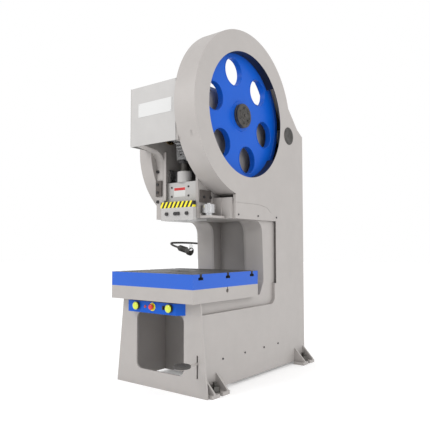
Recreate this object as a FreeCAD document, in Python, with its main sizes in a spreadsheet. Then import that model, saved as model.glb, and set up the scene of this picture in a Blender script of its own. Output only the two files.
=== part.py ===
import FreeCAD
import Part
import PartDesign
import Sketcher
import math
import os

V = FreeCAD.Vector
doc = FreeCAD.newDocument("press")
sheet = doc.addObject("Spreadsheet::Sheet", "sizes")
rows = [0]
parts = []


class Q:
    """A length with the spreadsheet expression that gives it."""

    def __init__(self, num, txt=None):
        self.num = float(num)
        self.txt = txt if txt else "(%.6f)" % num

    def __add__(self, other):
        o = q(other)
        return Q(self.num + o.num, "(%s + %s)" % (self.txt, o.txt))

    def __radd__(self, other):
        return q(other) + self

    def __sub__(self, other):
        o = q(other)
        return Q(self.num - o.num, "(%s - %s)" % (self.txt, o.txt))

    def __rsub__(self, other):
        return q(other) - self

    def __mul__(self, other):
        return Q(self.num * other, "(%s * %.6f)" % (self.txt, other))

    def __rmul__(self, other):
        return self * other

    def __truediv__(self, other):
        return self * (1.0 / other)

    def __neg__(self):
        return self * -1


def q(value):
    return value if isinstance(value, Q) else Q(value)


def root(a, b):
    """Third side of a right triangle, sqrt(a^2 - b^2)."""
    return Q(math.sqrt(a.num ** 2 - b.num ** 2), "sqrt(%s ^ 2 - %s ^ 2)" % (a.txt, b.txt))


def size(name, value, note=""):
    rows[0] += 1
    cell = "A%d" % rows[0]
    sheet.set("B%d" % rows[0], note)
    sheet.set(cell, "%g" % value)
    sheet.setAlias(cell, name)
    return Q(value, "sizes.%s" % name)


def bind(obj, prop, value):
    value = q(value)
    if "." in prop:
        obj.setExpression(prop, value.txt)
    else:
        setattr(obj, prop, value.num)
        obj.setExpression(prop, value.txt)


TURN = {"x": FreeCAD.Rotation(V(0, 1, 0), 90),
        "y": FreeCAD.Rotation(V(1, 0, 0), -90),
        "z": FreeCAD.Rotation()}


def place(obj, x, y, z, axis="z"):
    obj.Placement = FreeCAD.Placement(V(q(x).num, q(y).num, q(z).num), TURN[axis])
    bind(obj, "Placement.Base.x", x)
    bind(obj, "Placement.Base.y", y)
    bind(obj, "Placement.Base.z", z)


class Body:
    """One sub-part: a PartDesign body that is built up feature by feature."""

    def __init__(self, label, at=(0, 0, 0), keep=True):
        self.body = doc.addObject("PartDesign::Body", label + "_body")
        self.body.Label = label
        self.at = at
        if keep:
            parts.append(self.body)

    def box(self, x, y, z, lx, ly, lz, cut=False):
        kind = "PartDesign::SubtractiveBox" if cut else "PartDesign::AdditiveBox"
        f = self.body.newObject(kind, "box")
        bind(f, "Length", lx)
        bind(f, "Width", ly)
        bind(f, "Height", lz)
        place(f, x, y, z)
        return self

    def cyl(self, axis, x, y, z, r, length, cut=False):
        kind = "PartDesign::SubtractiveCylinder" if cut else "PartDesign::AdditiveCylinder"
        f = self.body.newObject(kind, "cyl")
        bind(f, "Radius", r)
        bind(f, "Height", length)
        place(f, x, y, z, axis)
        return self

    def cone(self, axis, x, y, z, r1, r2, length):
        f = self.body.newObject("PartDesign::AdditiveCone", "cone")
        bind(f, "Radius1", r1)
        bind(f, "Radius2", r2)
        bind(f, "Height", length)
        place(f, x, y, z, axis)
        return self

    def ball(self, x, y, z, r, cut=False):
        kind = "PartDesign::SubtractiveSphere" if cut else "PartDesign::AdditiveSphere"
        f = self.body.newObject(kind, "ball")
        bind(f, "Radius", r)
        place(f, x, y, z)
        return self

    def sketch(self, plane, pts, offset=0):
        role = {"xy": "XY_Plane", "xz": "XZ_Plane", "yz": "YZ_Plane"}[plane]
        base = [o for o in self.body.Origin.OriginFeatures if o.Role == role][0]
        s = self.body.newObject("Sketcher::SketchObject", "outline")
        s.AttachmentSupport = [(base, "")]
        s.MapMode = "FlatFace"
        off = q(offset)
        s.AttachmentOffset = FreeCAD.Placement(V(0, 0, off.num), FreeCAD.Rotation())
        s.setExpression("AttachmentOffset.Base.z", off.txt)
        pts = [(q(a), q(b)) for a, b in pts]
        n = len(pts)
        for i in range(n):
            a, b = pts[i], pts[(i + 1) % n]
            line = Part.LineSegment(V(a[0].num, a[1].num, 0), V(b[0].num, b[1].num, 0))
            s.addGeometry(line, False)
        for i in range(n):
            s.addConstraint(Sketcher.Constraint("Coincident", i, 2, (i + 1) % n, 1))
        for i in range(n):
            for kind, value in (("DistanceX", pts[i][0]), ("DistanceY", pts[i][1])):
                k = s.addConstraint(Sketcher.Constraint(kind, -1, 1, i, 1, value.num))
                s.setExpression("Constraints[%d]" % k, value.txt)
        return s

    def pad(self, plane, pts, offset, length, cut=False):
        """Profile pushed from offset to offset + length along +X, -Y or +Z."""
        s = self.sketch(plane, pts, offset)
        kind = "PartDesign::Pocket" if cut else "PartDesign::Pad"
        f = self.body.newObject(kind, "push")
        f.Profile = s
        bind(f, "Length", length)
        if cut:
            f.Reversed = True
        s.Visibility = False
        return self

    def turn(self, pts, axis="x", cut=False):
        """Profile (along, out) turned about the body's own X or Z axis."""
        if axis == "x":
            s = self.sketch("xy", pts)
            ref = "H_Axis"
        else:
            s = self.sketch("xz", [(b, a) for a, b in pts])
            ref = "V_Axis"
        kind = "PartDesign::Groove" if cut else "PartDesign::Revolution"
        f = self.body.newObject(kind, "turn")
        f.Profile = s
        f.ReferenceAxis = (s, [ref])
        f.Angle = 360
        s.Visibility = False
        return self

    def ring(self, count, how="x"):
        """Repeat the last feature evenly about the body's own axis."""
        last = self.body.Tip
        f = self.body.newObject("PartDesign::PolarPattern", "ring")
        role = {"x": "X_Axis", "y": "Y_Axis", "z": "Z_Axis"}[how]
        axis = [o for o in self.body.Origin.OriginFeatures if o.Role == role][0]
        f.Originals = [last]
        f.Axis = (axis, [""])
        f.Angle = 360
        f.Occurrences = count
        self.body.Tip = f
        return self

    def round(self, r, test, kind="Fillet"):
        """Round or chamfer the edges whose middle passes the test."""
        doc.recompute()
        tip = self.body.Tip
        names = []
        for i, e in enumerate(tip.Shape.Edges):
            if test(e):
                names.append("Edge%d" % (i + 1))
        if not names:
            raise RuntimeError("no edge found on " + self.body.Label)
        f = self.body.newObject("PartDesign::" + kind, "edge")
        f.Base = (tip, names)
        bind(f, "Radius" if kind == "Fillet" else "Size", r)
        return self

    def done(self):
        x, y, z = self.at
        place(self.body, x, y, z)
        return self


def near(y, z, tol=2.0):
    """Edges running along X that pass (y, z)."""
    y, z = q(y).num, q(z).num

    def test(e):
        d = e.Vertexes[-1].Point - e.Vertexes[0].Point
        m = (e.Vertexes[-1].Point + e.Vertexes[0].Point) * 0.5
        along = abs(d.x) > 1 and abs(d.y) < 0.01 and abs(d.z) < 0.01
        return along and abs(m.y - y) < tol and abs(m.z - z) < tol
    return test


def upright(x, y, tol=2.0):
    """Edges running along Z that pass (x, y)."""
    x, y = q(x).num, q(y).num

    def test(e):
        d = e.Vertexes[-1].Point - e.Vertexes[0].Point
        m = (e.Vertexes[-1].Point + e.Vertexes[0].Point) * 0.5
        up = abs(d.z) > 1 and abs(d.x) < 0.01 and abs(d.y) < 0.01
        return up and abs(m.x - x) < tol and abs(m.y - y) < tol
    return test


def level(x, z, tol=2.0):
    """Edges running along Y that pass (x, z)."""
    x, z = q(x).num, q(z).num

    def test(e):
        d = e.Vertexes[-1].Point - e.Vertexes[0].Point
        m = (e.Vertexes[-1].Point + e.Vertexes[0].Point) * 0.5
        back = abs(d.y) > 1 and abs(d.x) < 0.01 and abs(d.z) < 0.01
        return back and abs(m.x - x) < tol and abs(m.z - z) < tol
    return test


def cylinder(axis, x, y, z, r, length):
    f = doc.addObject("Part::Cylinder", "rod")
    bind(f, "Radius", r)
    bind(f, "Height", length)
    place(f, x, y, z, axis)
    return f


def hexagon(axis, x, y, z, across, length):
    f = doc.addObject("Part::Prism", "hex")
    f.Polygon = 6
    bind(f, "Circumradius", q(across) / math.sqrt(3.0))
    bind(f, "Height", length)
    place(f, x, y, z, axis)
    return f


def fuse(items):
    f = doc.addObject("Part::MultiFuse", "joined")
    f.Shapes = items
    return f


def group(label, items):
    items = [i.body if isinstance(i, Body) else i for i in items]
    for i in items:
        if i in parts:
            parts.remove(i)
    f = doc.addObject("Part::Compound", label + "_group")
    f.Links = items
    f.Label = label
    parts.append(f)
    return f


def bolt(axis, sign, x, y, z, across, head):
    """Hexagon head seated on the plane at (x, y, z)."""
    pos = {"x": q(x), "y": q(y), "z": q(z)}
    if sign < 0:
        pos[axis] = pos[axis] - head
    return hexagon(axis, pos["x"], pos["y"], pos["z"], across, head)


# ---------------------------------------------------------------- sizes, mm
skin = size("skin_half", 380, "outer face of the side covers")
frame = size("frame_half", 354, "outer face of the frame side plates")
plate = size("outer_plate_thick", 20)
ram_half = size("ram_half", 140, "half width of the ram between its guides")
web_in = ram_half + 25
web = size("inner_plate_thick", 21)
flange_out = size("flange_half", 250, "outer face of the guide flanges")
front = size("frame_front_y", -60, "front edge of the upper frame")
throat = size("throat_y", 578, "back of the throat")
under = size("frame_under_z", 1266, "underside of the upper frame")
jaw = size("jaw_top_z", 652, "top of the lower jaw, under the table")
foot_z = size("frame_foot_z", 27, "underside of the frame")
rear = size("rear_y", 1250, "rear of the column")
rear_top = size("rear_top_z", 2081, "top rear corner of the column")
sheet_t = size("rear_sheet_thick", 14)
bulk_y = size("bulkhead_y", 140, "wall behind the front opening")
table_w = size("table_width", 828)
table_d = size("table_depth", 800)
table_mid = size("table_mid_y", 20)
table_th = size("table_thick", 98)
bolster_th = size("bolster_thick", 105)
slot_top = size("slot_mouth", 26)
slot_foot = size("slot_foot", 54)
slot_deep = size("slot_depth", 42)
slot_pitch = size("slot_pitch", 317)
die_r = size("die_hole_radius", 60)
head_half = size("head_half", 314)
head_y = size("head_front_y", -293)
head_z = size("head_bottom_z", 1832)
head_h = size("head_tall", 465)
fly_y = size("wheel_axis_y", 344)
fly_z = size("wheel_axis_z", 2113)
guard_r = size("guard_radius", 676)
guard_open = size("guard_opening_radius", 508)
guard_in = size("guard_back_x", 186)
wheel_r = size("wheel_radius", 575)
wheel_x = size("wheel_face_x", 302, "outer face of the wheel disc")
hole_r = size("wheel_hole_radius", 112)
hole_pitch = size("wheel_hole_pitch_radius", 362)
shaft_r = size("back_shaft_radius", 45)
run_gap = size("running_gap", 0.05, "radial gap of a running fit")
slip = size("slip_gap", 0.3, "gap between surfaces that slide by")
gear_r = size("bull_gear_pitch_radius", 252)
pinion_r = size("pinion_pitch_radius", 126)
module = size("tooth_module", 9)
throw = size("crank_throw", 60)
crank_r = size("crankpin_radius", 48)
main_r = size("main_journal_radius", 55)
motor_y = size("motor_axis_y", 994)
motor_z = size("motor_axis_z", 2050)
pulley_r = size("motor_pulley_radius", 66)
left_y = size("left_guard_y", 435)
left_z = size("left_guard_z", 1825)
left_r = size("left_guard_radius", 563)
ram_z = size("ram_bottom_z", 1252)
ram_top = size("ram_top_z", 1556)
nose_half = size("nose_half", 172, "half width of the shank clamp")
nose_y = size("nose_front_y", -100)
nose_top = size("nose_top_z", 1350)
shank_r = size("shank_hole_radius", 25)
shank_l = size("shank_hole_length", 80)
screw_r = size("adjusting_screw_radius", 33)
ball_r = size("ball_radius", 44)
plate_foot = size("front_plate_foot_half", 455)
plate_head = size("front_plate_head_half", 391)
front_y = size("front_plate_y", -276)
front_t = size("front_plate_thick", 14)
stroke = size("stroke", 120)

crank_z = fly_z - root(gear_r + pinion_r, fly_y)
pin_z = crank_z + throw
table_top = jaw + table_th + bolster_th
head_top = head_z + head_h

# ---------------------------------------------------------------- frame plates
# Each side is a box wall: an inner and an outer plate, C-shaped around the throat.


def c_plate(label, x, thick, low_front, top):
    pts = [(low_front, foot_z), (rear - sheet_t, foot_z)] + top
    pts += [(throat, under), (throat + 22, jaw + 108), (throat - 38, jaw), (low_front, jaw)]
    b = Body(label).pad("yz", pts, x, thick)
    b.round(110, near(throat, under))
    b.round(60, near(throat + 22, jaw + 108))
    return b


inner_top = [(rear - sheet_t, rear_top - 4), (motor_y + 10, head_top - 5), (head_y + 5, head_top - 5),
             (head_y + 5, head_z), (front, head_z - 32), (front, under)]
for side, x in (("left", -web_in - web), ("right", web_in)):
    b = c_plate(side + "_inner_plate", x, web, front_y + front_t, inner_top)
    b.round(120, near(front, head_z - 32))
    b.box(x - 2, front_y + front_t - 2, foot_z - 2, web + 4, bulk_y + 18 - front_y - front_t,
          jaw - 20 - foot_z, cut=True)
    b.cyl("x", x - 2, 0, crank_z, 75, web + 4, cut=True)
    b.cyl("x", x - 2, fly_y, fly_z, 62, web + 4, cut=True)
    b.cyl("x", x - 2, motor_y, motor_z, 60, web + 4, cut=True)
    b.done()

outer_top = [(rear - sheet_t, rear_top - 60), (throat + 340, rear_top - 60), (throat + 200, under + 120),
             (170, under + 120), (170, under)]
for side, x in (("left", -frame), ("right", frame - plate)):
    c_plate(side + "_outer_plate", x, plate, front_y + front_t, outer_top).done()

# Flat cheeks that close each box wall at the throat, and the wall between the inner plates.
wall_w = frame - plate - web_in - web
for side, x in (("left", -frame + plate), ("right", web_in + web)):
    b = Body(side + "_throat_liner")
    b.pad("yz", [(170, under), (throat, under), (throat + 22, jaw + 108), (throat - 38, jaw),
                 (throat - 20, jaw - 4), (throat + 42, jaw + 108), (throat + 18, under + 18),
                 (170, under + 18)], x, wall_w)
    b.round(110, near(throat, under))
    b.round(60, near(throat + 22, jaw + 108))
    b.done()
b = Body("back_wall").box(-web_in, throat + 114, foot_z, web_in * 2, 16, under - foot_z + 20)
b.box(-web_in, 122, under, web_in * 2, throat + 8, 18)
b.done()
b = Body("rear_plate").box(-frame, rear - sheet_t, foot_z, frame * 2, sheet_t, rear_top - foot_z - 30)
b.box(-110, rear - sheet_t - 1, 420, 220, sheet_t + 2, 320, cut=True)
b.done()
b = Body("rear_door").box(-130, rear, 400, 260, 6, 360)
for z in (440, 720):
    b.cyl("y", 100, rear + 6, z, 12, 6)
b.done()
b = Body("bulkhead")
b.box(-frame + plate, bulk_y, foot_z, (frame - plate) * 2, 16, jaw - 22 - foot_z)
b.done()
b = Body("bed_plate")
b.box(-web_in, front_y + front_t, jaw - 22, web_in * 2, throat - 40 - front_y - front_t, 22)
b.cyl("z", 0, 0, jaw - 24, 110, 26, cut=True)
b.done()

# ---------------------------------------------------------------- front plate, covers
b = Body("front_plate")
b.pad("xz", [(-plate_foot, 0), (plate_foot, 0), (plate_head, jaw), (-plate_head, jaw)],
      -front_y - front_t, front_t)
b.box(-240, front_y - 1, 124, 480, front_t + 2, 430, cut=True)
for x in (-240, 240):
    for z in (124, 554):
        b.round(52, lambda e, x=x, z=z: e.Length < 20 and abs(e.Vertexes[0].X - x) < 1
                and abs(e.Vertexes[0].Z - z) < 1 and abs(e.Vertexes[-1].X - x) < 1)
b.box(358, front_y - 1, 128, 14, front_t + 2, 160, cut=True)
b.done()

for side, x in (("left", -skin), ("right", frame)):
    w = skin - frame
    b = Body(side + "_lower_cover")
    b.pad("yz", [(front_y + front_t, 202), (798, 202), (798, 345), (764, 345), (764, 736),
                 (735, 736), (735, 565), (front_y + front_t, 562)], x, w)
    b.round(60, near(735, 565))
    if side == "right":
        b.box(x - 1, front_y + front_t - 1, 110, w - 3, 84, 210, cut=True)
    b.done()
    b = Body(side + "_upper_strip")
    b.box(x, 170, under, w, 628, 118)
    b.done()

# Plinth skirts and the outer skin of the rear column.
for side, x in (("left", -skin), ("right", frame)):
    w = skin - frame
    b = Body(side + "_skirt").box(x, front_y + front_t, foot_z, w, rear - front_y - front_t, 202 - foot_z)
    if side == "right":
        b.box(x - 1, front_y + front_t - 1, 110, w - 3, 84, 210, cut=True)
    b.done()
b = Body("left_column_skin").box(-skin, 798, 202, skin - frame, rear - 798, under - 202)
b.box(-skin, 764, 345, skin - frame, 34, under - 345)
b.done()

# ---------------------------------------------------------------- right wheel guard
# One welded shell: rim, face with round opening and collar, and the skin of the rear column.
b = Body("wheel_guard", (0, fly_y, fly_z))
slope = [(-fly_y + 1249, rear_top - fly_z), (rear - fly_y, rear_top - fly_z - 12)]
b.pad("yz", [(guard_r * 0.4540, guard_r * 0.8074), (309, 545), (1153 - 344, 2136 - 2113), slope[0],
             slope[1], (rear - fly_y, 202 - fly_z), (798 - fly_y, 202 - fly_z),
             (798 - fly_y, 345 - fly_z), (764 - fly_y, 345 - fly_z), (764 - fly_y, under - fly_z),
             (798 - fly_y, under - fly_z), (798 - fly_y, under + 118 - fly_z),
             (170 - fly_y, under + 118 - fly_z), (170 - fly_y, -630)], skin - 6, 6)
b.cyl("x", guard_in, 0, 0, guard_r, skin - guard_in)
b.cyl("x", guard_in - 1, 0, 0, guard_r - 6, skin - 5 - guard_in, cut=True)
b.cyl("x", wheel_x + 4, 0, 0, guard_open + 5, skin - 8 - wheel_x)
b.cyl("x", wheel_x, 0, 0, guard_open, skin + 4 - wheel_x, cut=True)
b.box(guard_in - 1, 400, -485, skin - 5 - guard_in, 300, 830, cut=True)
b.pad("yz", [(guard_r * 0.4540, guard_r * 0.8074), (309, 545), (1153 - 344, 2136 - 2113), slope[0],
             slope[1], (rear - fly_y - 14, rear_top - fly_z - 12), (1249 - 352, rear_top - fly_z - 8),
             (1153 - 348, 2136 - 2121), (303, 537), (guard_r * 0.4440, guard_r * 0.7974)],
      guard_in, skin - guard_in)
b.done()


# Left guard: a round cover over the brake wheel.
b = Body("left_guard", (0, left_y, left_z))
b.cyl("x", -skin, 0, 0, left_r, skin - flange_out)
b.cyl("x", -skin + 6, 0, 0, left_r - 6, skin - flange_out - 11, cut=True)
b.cyl("x", -flange_out - 7, fly_y - left_y, fly_z - left_z, 66, 10, cut=True)
b.box(-head_half - 2, -left_r - 1, head_z - left_z - 2, head_half, left_r + 133 - left_y, 600, cut=True)
b.box(-frame - 1, throat + 190 - left_y, -left_r, plate + 2, 400, rear_top - 59 - left_z + left_r, cut=True)
b.box(-skin - 1, -left_r, -left_r - 1, skin - flange_out + 2, left_r * 2, left_r - left_z + under + 119, cut=True)
b.done()

# ---------------------------------------------------------------- guide flanges and head
b = Body("left_flange")
b.pad("yz", [(front, under), (130, under), (130, head_z), (head_y + 8, head_z), (front, head_z - 32)],
      -flange_out, flange_out - web_in - web)
b.round(120, near(front, head_z - 32))
b.done()
b = Body("right_flange").box(web_in + web, 131, under, 78, 39, 165)
b.box(web_in + web + 78, 140, under, frame - web_in - web - 82, 30, 165)
b.done()
b = Body("guard_web").box(frame, 170, under + 118, skin - 6 - frame, 6, 70).done()
b = Body("left_keeper").box(-web_in, front - 8, 1416, 24, 8, 391).done()

b = Body("head_cover")
b.box(-head_half, head_y, head_z, head_half + web_in, 423, head_h)
b.round(7, level(-head_half, head_top), "Chamfer")
b.box(-head_half + 5, head_y + 5, head_z - 1, head_half + web_in, 424, head_h - 4, cut=True)
b.done()
b = Body("top_cover")
b.pad("yz", [(head_y + 60, head_top), (130, head_top), (130, head_top - 5), (motor_y - 20, head_top - 5),
             (motor_y - 40, head_top + 28),
             (head_y + 90, head_top + 28)], -web_in - web - 20, web_in * 2 + web * 2 + 16)
b.done()
b = Body("name_plate").box(-226, head_y - 2, 2055, 352, 2, 108).done()

# ---------------------------------------------------------------- table and bolster
b = Body("table")
b.box(-table_w / 2, table_mid - table_d / 2, jaw, table_w, table_d, table_th)
b.cyl("z", 0, 0, jaw - 1, 105, table_th + 2, cut=True)
b.cyl("x", table_w / 2 - 40, 12, jaw + 71, 15, 42, cut=True)
b.box(table_w / 2 - 40, 7, jaw + 71, 42, 10, table_th - 70, cut=True)
b.done()
b = Body("bolster")
b.box(-table_w / 2, table_mid - table_d / 2, jaw + table_th, table_w, table_d, bolster_th)
for k in (-1, 0, 1):
    y = 19 + slot_pitch * k
    b.box(-table_w / 2 - 1, y - slot_top / 2, table_top - slot_deep, table_w + 2, slot_top,
          slot_deep + 1, cut=True)
    b.box(-table_w / 2 - 1, y - slot_foot / 2, table_top - slot_deep, table_w + 2, slot_foot, 20, cut=True)
b.cyl("z", 0, 0, jaw + table_th - 1, die_r, bolster_th + 2, cut=True)
b.done()

# ---------------------------------------------------------------- driving wheel on the back shaft
b = Body("wheel", (0, fly_y, fly_z))
b.turn([(215, shaft_r + run_gap), (wheel_x + 8, shaft_r + run_gap), (wheel_x + 8, 120), (wheel_x, 126),
        (wheel_x, wheel_r), (215, wheel_r), (215, wheel_r - 55), (wheel_x - 46, wheel_r - 70),
        (wheel_x - 46, 130), (215, 115)])
b.cyl("x", wheel_x - 70, hole_pitch * 0.9659, hole_pitch * -0.2588, hole_r, 90, cut=True)
b.ring(6)
for k in range(5):
    b.turn([(224 + 14 * k, wheel_r + 1), (228 + 14 * k, wheel_r - 12), (231 + 14 * k, wheel_r - 12),
            (235 + 14 * k, wheel_r + 1)], cut=True)
b.done()
b = Body("hub_cap", (0, fly_y, fly_z))
b.turn([(wheel_x + 8, 0), (wheel_x + 8, 98), (wheel_x + 34, 94), (wheel_x + 42, 82), (wheel_x + 42, 30),
        (wheel_x + 48, 28), (wheel_x + 48, 0)])
b.done()
items = [bolt("x", 1, wheel_x + 48, fly_y, fly_z, 24, 10)]
for k in range(6):
    a = math.radians(30 + 60 * k)
    items.append(bolt("x", 1, wheel_x + 42, fly_y + 62 * math.cos(a), fly_z + 62 * math.sin(a), 16, 7))
group("hub_bolts", items)
b = Body("back_shaft", (0, fly_y, fly_z))
b.turn([(-338, 0), (-338, shaft_r - 8), (-250, shaft_r - 8), (-250, shaft_r), (wheel_x + 6, shaft_r),
        (wheel_x + 6, 0)])
b.done()
for name, x, length in (("left", -215, 60), ("right", 152, 58)):
    b = Body(name + "_back_bearing", (0, fly_y, fly_z))
    b.cyl("x", x, 0, 0, 62, length)
    b.cyl("x", x - 1, 0, 0, shaft_r, length + 2, cut=True)
    b.done()


def gear(label, y, z, pitch, teeth, x, width, bore, start):
    """Spur gear with straight-sided teeth on the pitch circle."""
    b = Body(label, (0, y, z))
    b.cyl("x", x, 0, 0, pitch - module * 1.25, width)
    b.cyl("x", x - 1, 0, 0, bore, width + 2, cut=True)
    wide = module * 1.95
    tip = module * 0.62
    r0 = pitch - module * 1.6
    r1 = pitch + module
    a = math.radians(start)
    c, s = math.cos(a), math.sin(a)
    pts = []
    for r, t in ((r0, -wide), (r1, -tip), (r1, tip), (r0, wide)):
        pts.append((r * c - t / 2 * s * 1.0, r * s + t / 2 * c))
    b.pad("yz", pts, x, width)
    b.ring(teeth)
    b.done()
    return b


line = math.degrees(math.atan2((fly_z - crank_z).num, fly_y.num))
gear("bull_gear", 0, crank_z, gear_r, 56, 95, 50, main_r, line)
gear("pinion", fly_y, fly_z, pinion_r, 28, 90, 60, shaft_r, line + 180 + 180.0 / 28)

b = Body("brake_drum", (0, fly_y, fly_z))
b.cyl("x", -334, 0, 0, 160, 70)
b.cyl("x", -335, 0, 0, 145, 40, cut=True)
b.cyl("x", -300, 0, 0, 60, 36)
b.cyl("x", -336, 0, 0, shaft_r - 8, 74, cut=True)
b.done()
b = Body("brake_band", (0, fly_y, fly_z))
b.cyl("x", -326, 0, 0, 172, 54)
b.cyl("x", -327, 0, 0, 160, 56, cut=True)
b.box(-327, -20, -180, 56, 40, 60, cut=True)
b.box(-326, 20, -200, 54, 10, 32)
b.box(-326, -30, -200, 54, 10, 32)
b.done()
b = Body("brake_anchor").box(-326, fly_y - 30, fly_z - 290, 40, 60, 90)
b.box(-286, fly_y - 30, fly_z - 290, 31, 60, 40)
b.done()

# ---------------------------------------------------------------- crankshaft
b = Body("crankshaft", (0, 0, crank_z))
b.cyl("x", -205, 0, 0, main_r, 125)
b.cyl("x", 80, 0, 0, main_r, 125)
b.cyl("x", -60, 0, throw, crank_r, 120)
for x in (-86, 56):
    b.pad("yz", [(-66, -60), (66, -60), (58, throw + 58), (-58, throw + 58)], x, 30)
    b.cyl("x", x, 0, 0, 84, 30)
b.done()
for name, x in (("left", -208), ("right", 152)):
    b = Body(name + "_main_bush", (0, 0, crank_z))
    b.cyl("x", x, 0, 0, 75, 56)
    b.cyl("x", x - 1, 0, 0, main_r, 58, cut=True)
    b.done()

# The rod's big end is split through the crankpin: the cap stays with the crankshaft.
b = Body("rod_cap", (0, 0, pin_z))
b.cyl("x", -52, 0, 0, 84, 104)
b.box(-50, -112, 0, 100, 224, 40)
b.box(-60, -120, -130, 120, 240, 130 + slip / 2, cut=True)
b.cyl("x", -54, 0, 0, crank_r, 108, cut=True)
b.done()
b = Body("connecting_rod", (0, 0, pin_z))
b.cyl("x", -52, 0, 0, 84, 104)
b.box(-50, -112, -40, 100, 224, 40)
b.pad("yz", [(-60, -40), (60, -40), (44, -262), (-44, -262)], -46, 92)
b.cyl("z", 0, 0, -282, 62, 24)
b.box(-60, -120, -slip / 2, 120, 240, 130, cut=True)
b.cyl("x", -54, 0, 0, crank_r + slip, 108, cut=True)
b.cyl("z", 0, 0, -284, screw_r, 130, cut=True)
b.cyl("y", 0, -90, -228, 17, 180, cut=True)
b.done()
items = []
for y in (-98, 98):
    items.append(bolt("z", 1, 0, y, pin_z + 40, 32, 18))
group("cap_bolts", items)
z = pin_z - 284
b = Body("screw")
b.cyl("z", 0, 0, ram_top + 62, screw_r, pin_z - ram_top - 222)
b.ball(0, 0, ram_top + 52, ball_r)
for k in range(5):
    b.cyl("z", 0, 0, ram_top + 106 + 9 * k, screw_r + 2.5, 4)
b.done()
nut = doc.addObject("Part::Cut", "nut")
nut.Base = hexagon("z", 0, 0, pin_z - 306, 88, 24)
nut.Tool = cylinder("z", 0, 0, pin_z - 307, screw_r, 26)
group("adjusting_screw", [b, nut])
b = Body("ball_seat")
b.cyl("z", 0, 0, ram_top, 58, 52)
b.ball(0, 0, ram_top + 52, ball_r, cut=True)
b.done()
b = Body("seat_cap")
b.cyl("z", 0, 0, ram_top + 52, 58, 36)
b.round(8, lambda e: e.Length > 300 and e.CenterOfMass.z > ram_top.num + 80)
b.ball(0, 0, ram_top + 52, ball_r, cut=True)
b.cyl("z", 0, 0, ram_top + 60, screw_r + 4, 40, cut=True)
b.done()


# ---------------------------------------------------------------- ram, guides
b = Body("ram")
b.box(-ram_half, -18, ram_z + 98, ram_half * 2, 126, ram_top - ram_z - 98)
b.box(-ram_half, -60, ram_z, ram_half * 2, 168, 98)
for sign in (-1, 1):
    h = ram_half - 1
    pts = [(sign * h, 12), (sign * (ram_half + 12), 36), (sign * (ram_half + 12), 54), (sign * h, 78)]
    b.pad("xy", pts, ram_z + 20, ram_top - ram_z - 20)
b.cyl("z", 0, 0, ram_z - 1, shank_r, shank_l + 1, cut=True)
b.box(-170, 56.7, 1425.8, 340, 22.6, 92, cut=True)
b.done()
b = Body("shank_clamp")
b.box(-nose_half, nose_y, ram_z, nose_half * 2, -nose_y - 60 - 0.2, nose_top - ram_z)
b.box(-12, -70, ram_z - 1, 24, 12, shank_l, cut=True)
b.round(12, upright(-nose_half, nose_y), "Chamfer")
b.done()
b = Body("stripe_plate")
b.box(-168, nose_y + 2, nose_top, 336, 34, 48)
b.done()
b = Body("ram_front_plate").box(-160, -36, 1404, 308, 18, ram_top - 1404).done()
items = []
for x in (-103, 73):
    for z in (1446, 1518):
        items.append(bolt("y", -1, x, -36, z, 15, 5))
group("ram_plate_screws", items)
items = []
for x in (-96, -6, 26, 113):
    items.append(bolt("y", -1, x, nose_y, 1303, 26, 14))
group("clamp_nuts", items)
b = Body("warning_plate").box(-80, -38, 1440, 122, 2, 78).done()

guide_z = ram_z + 18
for side, sign in (("left", -1), ("right", 1)):
    b = Body(side + "_gib")
    g = ram_half + slip
    v = ram_half + 12 + slip
    pts = [(sign * g, -16), (sign * web_in, -16), (sign * web_in, 108), (sign * g, 108),
           (sign * g, 78 + slip), (sign * v, 54 + slip), (sign * v, 36 - slip), (sign * g, 12 - slip)]
    b.pad("xy", pts, under, 400)
    b.done()
b = Body("left_gib_plate").box(-flange_out, front - 12, 1452, 64, 12, 128).done()
b = Body("right_gib_plate").box(web_in + web, front + 20, 1389, 12, 128, 94).done()
items = []
for z in (1484, 1550):
    items.append(bolt("y", -1, -flange_out + 22, front - 12, z, 20, 9))
for z in (1410, 1655):
    items.append(bolt("y", -1, -flange_out + 16, front, z, 24, 11))
for y in (0, 80):
    items.append(bolt("x", 1, web_in + web + 12, y, 1430, 20, 9))
group("gib_bolts", items)

# Knock-out bar through the ram, and the stop that it meets.
b = Body("knockout_bar").box(-ram_half + 2, 57, 1426, ram_half * 2 - 4, 22, 30).done()
b = Body("stop_bracket").box(web_in + web, -40, under, 112, 171, 18)
b.box(web_in + web, -40, under + 18, 14, 120, 16)
b.done()
b = Body("stop_collar", (238, 10, 0))
b.cyl("z", 0, 0, under + 18 + 19, 50, 66)
b.cyl("z", 0, 0, under + 18, 30, 19)
b.cyl("z", 0, 0, under + 103, 16, 12)
b.done()

# ---------------------------------------------------------------- motor and belts
b = Body("motor", (0, motor_y, motor_z))
b.cyl("x", -140, 0, 0, 116, 280)
b.cyl("x", -150, 0, 0, 92, 10)
b.cyl("x", 140, 0, 0, 60, 18)
for k in range(12):
    a = math.radians(30 * k)
    b.cyl("x", -110, 116 * math.cos(a), 116 * math.sin(a), 8, 220)
b.box(-110, -110, -150, 220, 220, 60)
b.done()
b = Body("motor_shelf").box(-web_in, motor_y - 150, motor_z - 166, web_in * 2, 300, 16).done()
b = Body("motor_pulley", (0, motor_y, motor_z))
b.turn([(200, 0), (200, 40), (215, 40), (215, pulley_r), (wheel_x, pulley_r), (wheel_x, 0)])
for k in range(5):
    b.turn([(224 + 14 * k, pulley_r + 1), (228 + 14 * k, pulley_r - 12), (231 + 14 * k, pulley_r - 12),
            (235 + 14 * k, pulley_r + 1)], cut=True)
b.done()
b = Body("motor_shaft", (0, motor_y, motor_z)).cyl("x", 158, 0, 0, 24, 42).done()

gap = math.hypot((motor_y - fly_y).num, (motor_z - fly_z).num)
tilt = math.atan2((motor_z - fly_z).num, (motor_y - fly_y).num)
lean = math.acos((wheel_r.num - pulley_r.num) / gap)


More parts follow.
